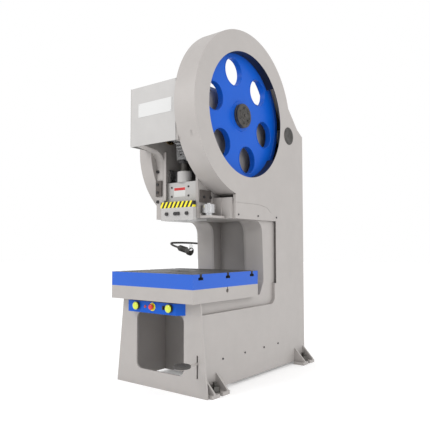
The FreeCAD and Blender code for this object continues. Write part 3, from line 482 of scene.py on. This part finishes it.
def turned(bm, profile, centre, axis="z", sides=None, wave=None):
    """Adds a turned solid. profile is (radius, height) from the bottom up; wave(angle, r, h) alters r."""
    sides = sides or bpy.context.scene.press_sizes.sides
    spin = AXES[axis]
    rings = []
    for r, h in profile:
        if r < 1e-6:
            rings.append([bm.verts.new(spin @ Vector((0, 0, h)) + Vector(centre))])
            continue
        ring = []
        for i in range(sides):
            a = 2 * math.pi * i / sides
            rr = wave(a, r, h) if wave else r
            ring.append(bm.verts.new(spin @ Vector((rr * math.cos(a), rr * math.sin(a), h))
                                     + Vector(centre)))
        rings.append(ring)
    for low, high in zip(rings, rings[1:]):
        for i in range(sides):
            j = (i + 1) % sides
            quad = [low[i % len(low)], low[j % len(low)], high[j % len(high)], high[i % len(high)]]
            quad = list(dict.fromkeys(quad))
            if len(quad) > 2:
                bm.faces.new(quad)
    for ring, flip in ((rings[0], True), (rings[-1], False)):
        if len(ring) > 1:
            bm.faces.new(ring[::-1] if flip else ring)


def arc(cx, cz, r, start, end, steps=6):
    """Profile points of a rounded corner."""
    out = []
    for i in range(steps + 1):
        a = math.radians(start + (end - start) * i / steps)
        out.append((cx + r * math.cos(a), cz + r * math.sin(a)))
    return out


def hexagon(bm, centre, axis, across, tall):
    """Adds a hexagon head with its turned chamfer."""
    r = across / math.sqrt(3)
    spin = AXES[axis]
    levels = [(0.96, 0.0), (1.0, 0.04), (1.0, 0.80), (0.93, 1.0)]
    rings = []
    for scale, part in levels:
        rings.append([bm.verts.new(spin @ Vector((r * scale * math.cos(math.pi * i / 3),
                                                  r * scale * math.sin(math.pi * i / 3),
                                                  tall * part)) + Vector(centre)) for i in range(6)])
    for low, high in zip(rings, rings[1:]):
        for i in range(6):
            bm.faces.new((low[i], low[(i + 1) % 6], high[(i + 1) % 6], high[i]))
    bm.faces.new(rings[0][::-1])
    bm.faces.new(rings[-1])


def threaded(bm, centre, radius, depth, pitch, bottom, top, sides=48):
    """Adds a screw thread as real ridges, running up z from bottom to top."""
    rows = max(2, int((top - bottom) / pitch * 8))
    grid = []
    for k in range(rows + 1):
        z = bottom + (top - bottom) * k / rows
        ring = []
        for i in range(sides):
            a = 2 * math.pi * i / sides
            phase = ((z - bottom) / pitch - a / (2 * math.pi)) % 1.0
            ridge = min(1.0, max(0.0, 1.5 - abs(phase - 0.5) * 5.0))
            r = radius - depth * (1.0 - ridge)
            ring.append(bm.verts.new(Vector(centre) + Vector((r * math.cos(a), r * math.sin(a), z))))
        grid.append(ring)
    for low, high in zip(grid, grid[1:]):
        for i in range(sides):
            bm.faces.new((low[i], low[(i + 1) % sides], high[(i + 1) % sides], high[i]))
    bm.faces.new(grid[0][::-1])
    bm.faces.new(grid[-1])


def slab(bm, low, high):
    """Adds a square-edged bar between two corners."""
    points = [bm.verts.new((x, y, z)) for z in (low[2], high[2]) for x, y in
              ((low[0], low[1]), (high[0], low[1]), (high[0], high[1]), (low[0], high[1]))]
    for face in ((3, 2, 1, 0), (4, 5, 6, 7), (0, 1, 5, 4), (1, 2, 6, 5), (2, 3, 7, 6), (3, 0, 4, 7)):
        bm.faces.new([points[i] for i in face])


def smooth_line(points, steps=16):
    """Points of a smooth line through the given ones."""
    ends = [points[0] * 2 - points[1], *points, points[-1] * 2 - points[-2]]
    line = []
    for a, b, c, d in zip(ends, ends[1:], ends[2:], ends[3:]):
        for i in range(steps):
            t = i / steps
            line.append(0.5 * (2 * b + (c - a) * t + (2 * a - 5 * b + 4 * c - d) * t * t
                               + (3 * b - a - 3 * c + d) * t * t * t))
    return [*line, points[-1]]


def even(line, gap):
    """The same line with its points a set distance apart."""
    out = [line[0]]
    left = gap
    for a, b in zip(line, line[1:]):
        run = (b - a).length
        done = 0.0
        while run - done >= left:
            done += left
            out.append(a.lerp(b, done / run))
            left = gap
        left -= run - done
    return out


def swept(bm, line, radius, sides=20):
    """Adds a tube along a line; radius(i) is its radius at point i."""
    normal = None
    rings = []
    for i, point in enumerate(line):
        ahead = (line[min(i + 1, len(line) - 1)] - line[max(i - 1, 0)]).normalized()
        if normal is None:
            normal = ahead.orthogonal().normalized()
        normal = (normal - ahead * normal.dot(ahead)).normalized()
        other = ahead.cross(normal)
        rings.append([bm.verts.new(point + (normal * math.cos(2 * math.pi * k / sides)
                                            + other * math.sin(2 * math.pi * k / sides)) * radius(i))
                      for k in range(sides)])
    for low, high in zip(rings, rings[1:]):
        for k in range(sides):
            bm.faces.new((low[k], low[(k + 1) % sides], high[(k + 1) % sides], high[k]))
    bm.faces.new(rings[0][::-1])
    bm.faces.new(rings[-1])


def bead(bm, start, end, width):
    """Adds a rippled weld bead between two points."""
    start, end = Vector(start), Vector(end)
    count = max(4, int((end - start).length / (width * 0.22)))
    line = [start.lerp(end, i / count) for i in range(count + 1)]
    swept(bm, line, lambda i: width * (0.44 + 0.08 * math.sin(i * 1.55)), 10)


def swell(bm, centre, x, radius, thick, steps=72, around=8):
    """Adds a half-round ring lying on a face square to x."""
    rings = []
    for i in range(steps):
        a = 2 * math.pi * i / steps
        ring = []
        for k in range(around + 1):
            b = math.pi * k / around
            r = radius - thick * math.cos(b)
            ring.append(bm.verts.new((x - 0.002 + thick * math.sin(b), centre[1] + r * math.cos(a),
                                      centre[2] + r * math.sin(a))))
        rings.append(ring)
    for i in range(steps):
        low, high = rings[i], rings[(i + 1) % steps]
        for k in range(around):
            bm.faces.new((low[k], low[k + 1], high[k + 1], high[k]))
        bm.faces.new((low[around], low[0], high[0], high[around]))


def washer(bm, centre, outer, inner, tall):
    """Adds a flat ring with a rounded edge, standing off a face square to y."""
    turned_ring(bm, [(inner, 0.0), (outer, 0.0), (outer, tall * 0.6), (outer - 0.0012, tall),
                     (inner + 0.0006, tall), (inner, tall - 0.0005)], centre)


def turned_ring(bm, profile, centre, sides=64):
    """Adds a ring turned from a closed outline of (radius, height) points, square to y."""
    spin = AXES["-y"]
    rings = []
    for i in range(sides):
        a = 2 * math.pi * i / sides
        rings.append([bm.verts.new(spin @ Vector((r * math.cos(a), r * math.sin(a), h)) + Vector(centre))
                      for r, h in profile])
    for i in range(sides):
        low, high = rings[i], rings[(i + 1) % sides]
        for k in range(len(profile)):
            j = (k + 1) % len(profile)
            bm.faces.new((low[k], high[k], high[j], low[j]))


def merge(bm, other):
    """Copies one mesh into another and frees it."""
    scratch = bpy.data.meshes.new("scratch")
    other.to_mesh(scratch)
    other.free()
    bm.from_mesh(scratch)
    bpy.data.meshes.remove(scratch)


# ---------------------------------------------------------------- operators
class PressOperator:
    """Shared settings of the press's operators."""
    bl_options = {"REGISTER", "UNDO"}


class PRESS_OT_finishes(PressOperator, Operator):
    """Builds every finish and paints the pieces that keep their machined shape"""
    bl_idname = "press.finishes"
    bl_label = "Finishes"

    def execute(self, context):
        build_effects()
        build_finishes(context.scene.press_colours)
        painted = set()
        for key, names in NODE_FINISH.items():
            for name in names.split():
                coat(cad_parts[name], FINISHES[key])
                painted.add(name)
        left = sorted(set(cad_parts) - painted)
        if left:
            raise RuntimeError("pieces without a finish: " + ", ".join(left))
        return {"FINISHED"}


class PRESS_OT_wheel_lips(PressOperator, Operator):
    """Cast lips round the wheel's six holes and a ring round its hub"""
    bl_idname = "press.wheel_lips"
    bl_label = "Wheel lips"

    def execute(self, context):
        bm = bmesh.new()
        for k in range(6):
            a = math.radians(-15 + 60 * k)
            centre = (0.0, AXIS_Y + HOLE_PITCH * math.cos(a), AXIS_Z + HOLE_PITCH * math.sin(a))
            swell(bm, centre, 0.303, HOLE_R + 0.004, 0.0045)
        swell(bm, (0.0, AXIS_Y, AXIS_Z), 0.3035, 0.535, 0.004)
        piece("wheel_lips", mesh_from("wheel_lips", bm), "blue", "wheel")
        return {"FINISHED"}


class PRESS_OT_hub(PressOperator, Operator):
    """Turned hub cover with its cap screws, and the small cover over the motor shaft"""
    bl_idname = "press.hub"
    bl_label = "Hub and shaft covers"

    def execute(self, context):
        bm = bmesh.new()
        lip = arc(0.093, 0.029, 0.005, 0, 90)
        turned(bm, [(0.0, 0.0), (0.0975, 0.0), (0.0975, 0.012), (0.094, 0.014), (0.094, 0.026), *lip,
                    (0.076, 0.034), (0.074, 0.030), (0.050, 0.030), (0.048, 0.034), (0.034, 0.034),
                    (0.031, 0.038), (0.030, 0.040), (0.0, 0.040)], (0.310, AXIS_Y, AXIS_Z), "x")
        for k in range(6):
            a = math.radians(30 + 60 * k)
            spot = (0.340, AXIS_Y + 0.062 * math.cos(a), AXIS_Z + 0.062 * math.sin(a))
            turned(bm, [(0.0, 0.0), (0.0085, 0.0), (0.0085, 0.006), (0.0075, 0.007), (0.005, 0.007),
                        (0.005, 0.003), (0.0, 0.003)], spot, "x", 20)
        hexagon(bm, (0.3495, AXIS_Y, AXIS_Z), "x", 0.024, 0.0103)
        hub = piece("hub_cover_turned", mesh_from("hub_cover_turned", bm), "cap", "wheel")
        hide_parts("hub_cover")
        bm = bmesh.new()
        turned(bm, [(0.0, 0.0), (0.079, 0.0), (0.079, 0.0025), (0.0775, 0.0035), (0.064, 0.0035),
                    (0.062, 0.0055), (0.030, 0.0055), (0.028, 0.004), (0.012, 0.004), (0.011, 0.0058),
                    (0.0, 0.0058)], (0.380, MOTOR_Y, MOTOR_Z), "x")
        for k in range(4):
            a = math.radians(45 + 90 * k)
            spot = (0.383, MOTOR_Y + 0.071 * math.cos(a), MOTOR_Z + 0.071 * math.sin(a))
            turned(bm, [(0.0, 0.0), (0.0045, 0.0), (0.0038, 0.0022), (0.0, 0.0028)], spot, "x", 16)
        cover = piece("shaft_cover_turned", mesh_from("shaft_cover_turned", bm), "cap", FRAME)
        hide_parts("shaft_cover")
        return {"FINISHED"}


class PRESS_OT_screw(PressOperator, Operator):
    """Adjusting screw with its real thread, ball and lock nut"""
    bl_idname = "press.screw"
    bl_label = "Adjusting screw"

    def execute(self, context):
        pitch = context.scene.press_sizes.thread
        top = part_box("adjusting_screw")[1][2]
        bm = bmesh.new()
        threaded(bm, (0.0, 0.0, 0.0), SCREW_R + 0.0022, 0.0030, pitch, 1.650, top - 0.004)
        turned(bm, [(0.0, BALL_Z - BALL_R), *[(BALL_R * math.sin(b), BALL_Z - BALL_R * math.cos(b))
                                              for b in (math.pi * i / 20 for i in range(1, 15))],
                    (SCREW_R, 1.634), (SCREW_R, 1.652), (0.0, 1.652)], (0.0, 0.0, 0.0), "z", 64)
        screw = piece("screw_threaded", mesh_from("screw_threaded", bm), "thread", RAM, 30)
        bm = bmesh.new()
        hexagon(bm, (0.0, 0.0, PIN_Z - 0.306), "z", 0.088, 0.024)
        turned(bm, [(0.043, 0.0), (0.043, 0.0035), (0.032, 0.0035)], (0.0, 0.0, PIN_Z - 0.3095), "z", 64)
        piece("screw_nut", mesh_from("screw_nut", bm), "black", RAM, 30, 0.0008)
        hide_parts("adjusting_screw")
        return {"FINISHED"}


class PRESS_OT_buttons(PressOperator, Operator):
    """Mushroom palm buttons, stop button, rings, selector knob and pilot lamp"""
    bl_idname = "press.buttons"
    bl_label = "Box controls"

    def execute(self, context):
        y = BOX_Y
        z = BOX_Z + 0.048
        for side, x in (("left", -0.180), ("right", 0.154)):
            bm = bmesh.new()
            turned(bm, [(0.0, -0.024), (0.0137, -0.024), (0.0137, 0.013), (0.020, 0.016), (0.026, 0.018),
                        *arc(0.0255, 0.0215, 0.0035, -60, 60, 6), (0.024, 0.0275), (0.017, 0.030),
                        (0.009, 0.0315), (0.0, 0.032)], (x, y, z), "-y", 64)
            name = side + "_palm_mushroom"
            palm = piece(name, mesh_from(name, bm), "palm", side + "_button")
            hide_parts(side + "_palm_button")
        bm = bmesh.new()
        turned(bm, [(0.0, -0.016), (0.0097, -0.016), (0.0097, 0.014), (0.016, 0.0155),
                    *arc(0.019, 0.0185, 0.0030, -70, 60, 6), (0.0185, 0.0245), (0.012, 0.0285),
                    (0.006, 0.0298), (0.0, 0.030)], (-0.022, y, z), "-y", 64,
               lambda a, r, h: r * (1.0 - 0.035 * (0.5 + 0.5 * math.cos(24 * a))) if h > 0.0165 and r > 0.018
               else r)
        stop = piece("stop_mushroom", mesh_from("stop_mushroom", bm), "stop", "stop")
        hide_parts("stop_button")
        bm = bmesh.new()
        washer(bm, (-0.022, y, z), 0.0305, 0.0105, 0.0035)
        piece("stop_ring", mesh_from("stop_ring", bm), "ring", FRAME)
        bm = bmesh.new()
        for x in (-0.180, 0.154):
            washer(bm, (x, y, z), 0.0295, 0.0143, 0.0065)
        collars = piece("palm_collars", mesh_from("palm_collars", bm), "black", FRAME)
        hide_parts("button_rings")
        bm = bmesh.new()
        turned(bm, [(0.0, -0.018), (0.0077, -0.018), (0.0077, 0.0), (0.0155, 0.0004), (0.0155, 0.006),
                    (0.0145, 0.008), (0.0, 0.008)], (0.095, y, z), "-y", 48,
               lambda a, r, h: r * (1.0 - 0.04 * (0.5 + 0.5 * math.cos(18 * a))) if r > 0.015 else r)
        slab(bm, (0.0912, y - 0.0195, z - 0.0138), (0.0988, y - 0.0078, z + 0.0138))
        knob = piece("selector_knob", mesh_from("selector_knob", bm), "knob", "selector",
                     40, 0.0012)
        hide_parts("selector")
        bm = bmesh.new()
        turned(bm, [(0.0, 0.0), (0.0108, 0.0), (0.0108, 0.003), (0.0092, 0.0038), (0.009, 0.0055),
                    (0.006, 0.0073), (0.0, 0.0079)], (-0.095, y, BOX_Z + 0.046), "-y", 40)
        pilot = piece("pilot_lens", mesh_from("pilot_lens", bm), "pilot", FRAME)
        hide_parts("pilot_lamps")
        return {"FINISHED"}


class PRESS_OT_lamp(PressOperator, Operator):
    """Work lamp: base box, ribbed stay-put conduit and turned head"""
    bl_idname = "press.lamp"
    bl_label = "Work lamp"

    def execute(self, context):
        rib = context.scene.press_sizes.rib
        line = even(smooth_line([Vector(p) for p in NECK]), rib / 6)
        bm = bmesh.new()
        swept(bm, line, lambda i: 0.0082 + 0.0008 * math.cos(i * math.pi / 3))
        neck = piece("lamp_conduit", mesh_from("lamp_conduit", bm), "cap", FRAME, 60)
        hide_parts("lamp_neck")
        bm = bmesh.new()
        profile = [(0.0, 0.0), (0.012, 0.0), (0.014, 0.004), (0.014, 0.014), (0.020, 0.018),
                   *arc(0.021, 0.024, 0.005, -90, 0), (0.026, 0.048)]
        for k in range(6):
            h = 0.050 + 0.009 * k
            profile += [(0.026, h), (0.0235, h + 0.0015), (0.0235, h + 0.004), (0.026, h + 0.0055)]
        profile += [(0.026, 0.112), (0.033, 0.122), (0.034, 0.126), (0.034, 0.152), (0.033, 0.154),
                    (0.0295, 0.154), (0.029, 0.139), (0.0, 0.139)]
        turned(bm, profile, (0.0, 0.0, 0.0), "x", 64)
        tilt = Matrix.Rotation(LAMP_TURN, 4, "Y")
        bm.transform(Matrix.Translation((-0.284, 0.240, 1.042)) @ tilt)
        slab(bm, (-0.366, 0.605, 1.040), (-0.354, 0.685, 1.112))
        lamp = piece("lamp_housing", mesh_from("lamp_housing", bm), "cap", FRAME, 40, 0.0012)
        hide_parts("lamp_body")
        return {"FINISHED"}


class PRESS_OT_feet(PressOperator, Operator):
    """Levelling bolts with washers, chamfered nuts and threads; weld beads on the feet"""
    bl_idname = "press.feet"
    bl_label = "Feet"

    def execute(self, context):
        bm = bmesh.new()
        for sx in (-1, 1):
            for y in (-0.150, 1.150):
                x = sx * 0.422
                turned(bm, [(0.0, 0.0), (0.038, 0.0), (0.038, 0.0045), (0.0365, 0.006), (0.0, 0.006)],
                       (x, y, 0.0252), "z", 48)
                hexagon(bm, (x, y, 0.031), "z", 0.066, 0.036)
                threaded(bm, (x, y, 0.0), 0.017, 0.0016, 0.004, 0.066, 0.0925, 32)
        bolts = piece("levelling_screws", mesh_from("levelling_screws", bm), "thread", FRAME,
                      30)
        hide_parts("levelling_bolts")
        width = context.scene.press_sizes.bead
        bm = bmesh.new()
        for sx in (-1, 1):
            for y in (-0.250, 1.050):
                x = sx * 0.381
                bead(bm, (x, y + 0.012, 0.027), (x, y + 0.188, 0.027), width)
                for yy in (y + 0.018, y + 0.034, y + 0.166, y + 0.182):
                    bead(bm, (x, yy, 0.030), (x, yy, 0.135), width * 0.8)
                    bead(bm, (x, yy, 0.0265), (sx * 0.474, yy, 0.0265), width * 0.7)
        piece("foot_welds", mesh_from("foot_welds", bm), "bead", FRAME, 50)
        return {"FINISHED"}


class PRESS_OT_plates(PressOperator, Operator):
    """Blank plate rivets on the head, and the plain banded plate on the ram"""
    bl_idname = "press.plates"
    bl_label = "Plates"

    def execute(self, context):
        low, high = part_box("name_plate")
        bm = bmesh.new()
        for x in (low[0] + 0.008, high[0] - 0.008):
            for z in (low[2] + 0.008, high[2] - 0.008):
                turned(bm, [(0.0, 0.0), (0.0034, 0.0), (0.0028, 0.0008), (0.0014, 0.0013), (0.0, 0.0015)],
                       (x, low[1], z), "-y", 16)
        piece("plate_rivets", mesh_from("plate_rivets", bm), "steel", FRAME)
        low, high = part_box("warning_plate")
        bm = bmesh.new()
        slab(bm, (low[0] + 0.004, low[1] - 0.0006, high[2] - 0.026),
             (high[0] - 0.004, low[1], high[2] - 0.004))
        piece("plate_band", mesh_from("plate_band", bm), "red", RAM, 40, 0.0002)
        return {"FINISHED"}


class PRESS_OT_pedal(PressOperator, Operator):
    """Ribbed rubber pad of the foot pedal"""
    bl_idname = "press.pedal"
    bl_label = "Pedal pad"

    def execute(self, context):
        low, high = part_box("pedal_pad")
        x = (low[0] + high[0]) / 2
        y = (low[1] + high[1]) / 2
        bm = bmesh.new()
        turned(bm, [(0.0, 0.0), (0.052, 0.0), *arc(0.054, 0.006, 0.006, -90, 0), (0.060, 0.014),
                    *arc(0.055, 0.014, 0.005, 0, 90), (0.0, 0.019)], (x, y, low[2]), "z", 72)
        for k in range(-4, 5):
            along = 0.0115 * k
            half = math.sqrt(0.052 ** 2 - along ** 2)
            slab(bm, (x - half, y + along - 0.0028, low[2] + 0.018),
                 (x + half, y + along + 0.0028, high[2] - 0.0002))
        pad = piece("pedal_tread", mesh_from("pedal_tread", bm), "pad", "pedal", 40, 0.0008)
        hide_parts("pedal_pad")
        return {"FINISHED"}


class PRESS_OT_motor(PressOperator, Operator):
    """Cooling fins, end bell, fan cowl and mounting feet of the motor"""
    bl_idname = "press.motor"
    bl_label = "Motor"

    def execute(self, context):
        bm = bmesh.new()
        profile = [(0.0, -0.150), (0.060, -0.150), (0.092, -0.146), (0.104, -0.138), (0.112, -0.120),
                   (0.112, -0.112), (0.108, -0.110), (0.108, 0.112), (0.115, 0.114), (0.115, 0.138),
                   (0.104, 0.141), (0.062, 0.141), (0.059, 0.152), (0.036, 0.157), (0.0, 0.157)]
        turned(bm, profile, (0.0, MOTOR_Y, MOTOR_Z), "x", 64)
        for k in range(36):
            a = 2 * math.pi * k / 36
            fin = bmesh.new()
            slab(fin, (-0.108, 0.100, -0.0018), (0.108, 0.1225, 0.0018))
            fin.transform(Matrix.Translation((0.0, MOTOR_Y, MOTOR_Z)) @ Matrix.Rotation(a, 4, "X"))
            merge(bm, fin)
        slab(bm, (-0.100, MOTOR_Y - 0.100, MOTOR_Z - 0.150), (0.100, MOTOR_Y - 0.060, MOTOR_Z - 0.060))
        slab(bm, (-0.100, MOTOR_Y + 0.060, MOTOR_Z - 0.150), (0.100, MOTOR_Y + 0.100, MOTOR_Z - 0.060))
        motor = piece("motor_body", mesh_from("motor_body", bm), "cast", FRAME, 35, 0.0008)
        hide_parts("motor")
        return {"FINISHED"}


class PRESS_OT_seams(PressOperator, Operator):
    """Weld beads and rolled seams along the frame and the guard"""
    bl_idname = "press.seams"
    bl_label = "Seams"

    def execute(self, context):
        bm = bmesh.new()
        for points in (((0.3803, 0.157, 1.392), (0.3803, 0.482, 1.394)),
                       ((0.3803, 0.482, 1.394), (0.3803, 0.620, 1.377)),
                       ((0.3803, 0.620, 1.377), (0.3803, 0.683, 1.334))):
            bead(bm, *points, 0.0035)
        for sx in (-1, 1):
            bead(bm, (sx * 0.3135, -0.2925, 1.840), (sx * 0.3135, -0.2925, 2.300), 0.004)
        piece("frame_seams", mesh_from("frame_seams", bm), "bead", FRAME, 60)
        bm = bmesh.new()
        swell(bm, (0.0, AXIS_Y, AXIS_Z), 0.3795, 0.516, 0.0024, 128)
        piece("guard_bead", mesh_from("guard_bead", bm), "bead", FRAME, 60)
        return {"FINISHED"}


class PRESS_OT_stage(PressOperator, Operator):
    """Makes the pale floor, the soft lights and the camera"""
    bl_idname = "press.stage"
    bl_label = "Stage"

    def execute(self, context):
        scene = context.scene
        scene.view_settings.view_transform = "Standard"
        bm = bmesh.new()
        reach = 30.0
        corners = [bm.verts.new((x * reach, y * reach, 0.0)) for x, y in
                   ((-1, -1), (1, -1), (1, 1), (-1, 1))]
        bm.faces.new(corners)
        mesh = bpy.data.meshes.new("studio_floor")
        bm.to_mesh(mesh)
        bm.free()
        floor = bpy.data.objects.new("studio_floor", mesh)
        scene.collection.objects.link(floor)
        material = bpy.data.materials.new("studio_floor")
        material.use_nodes = True
        s = Sheet(material.node_tree)
        shader = material.node_tree.nodes["Principled BSDF"]
        tone = s.noise(s.place(), 0.8, 3.0)
        tint = (*scene.press_colours.floor, 1)
        s.feed(shader.inputs["Base Color"], s.mix(s.calc("MULTIPLY", tone, 0.05), tint,
                                                  (0.86, 0.86, 0.86, 1)))
        shader.inputs["Roughness"].default_value = 0.9
        shader.inputs["Emission Color"].default_value = (1, 1, 1, 1)
        shader.inputs["Emission Strength"].default_value = 0.20
        coat(floor, material)
        self.lights(scene)
        self.camera(scene)
        return {"FINISHED"}

    def lights(self, scene):
        world = bpy.data.worlds.new("studio")
        scene.world = world
        world.use_nodes = True
        sky = world.node_tree.nodes["Background"]
        sky.inputs["Color"].default_value = (1, 1, 1, 1)
        sky.inputs["Strength"].default_value = 1.0
        for name, spot, aim, size, watts in (
                ("key", (-1.6, -4.6, 4.2), (0.0, 0.2, 1.5), 2.2, 95.0),
                ("side", (5.0, -0.8, 3.4), (0.3, 0.4, 1.4), 2.4, 60.0)):
            data = bpy.data.lights.new(name, "AREA")
            data.size = size
            data.energy = watts
            lamp = bpy.data.objects.new(name, data)
            scene.collection.objects.link(lamp)
            lamp.location = spot
            lamp.rotation_euler = (Vector(aim) - Vector(spot)).to_track_quat("-Z", "Y").to_euler()

    def camera(self, scene):
        data = bpy.data.cameras.new("camera")
        data.sensor_width = 36.0
        data.lens = scene.press_sizes.lens
        data.clip_end = 200.0
        camera = bpy.data.objects.new("camera", data)
        scene.collection.objects.link(camera)
        camera.location = (2.7023, -3.0766, 1.0435)
        camera.rotation_euler = (math.radians(93.56), 0.0, math.radians(37.91))
        scene.camera = camera


OPERATORS = (PRESS_OT_finishes, PRESS_OT_wheel_lips, PRESS_OT_hub, PRESS_OT_screw, PRESS_OT_buttons,
             PRESS_OT_lamp, PRESS_OT_feet, PRESS_OT_plates, PRESS_OT_pedal, PRESS_OT_motor,
             PRESS_OT_seams, PRESS_OT_stage)


class PRESS_PT_panel(Panel):
    """Lists the press's sizes, colours and steps"""
    bl_idname = "PRESS_PT_panel"
    bl_label = "Stamping press"
    bl_space_type = "VIEW_3D"
    bl_region_type = "UI"
    bl_category = "Press"

    def draw(self, context):
        for group in (context.scene.press_colours, context.scene.press_sizes):
            box = self.layout.box()
            for key in group.__annotations__:
                box.prop(group, key)
        for operator in OPERATORS:
            self.layout.operator(operator.bl_idname)


CLASSES = (PressColours, PressSizes, *OPERATORS, PRESS_PT_panel)


def register():
    for cls in CLASSES:
        bpy.utils.register_class(cls)
    bpy.types.Scene.press_colours = PointerProperty(type=PressColours)
    bpy.types.Scene.press_sizes = PointerProperty(type=PressSizes)


def unregister():
    del bpy.types.Scene.press_sizes
    del bpy.types.Scene.press_colours
    for cls in reversed(CLASSES):
        bpy.utils.unregister_class(cls)


def main():
    register()
    for operator in OPERATORS:
        family, step = operator.bl_idname.split(".")
        getattr(getattr(bpy.ops, family), step)()


if __name__ == "__main__":
    main()
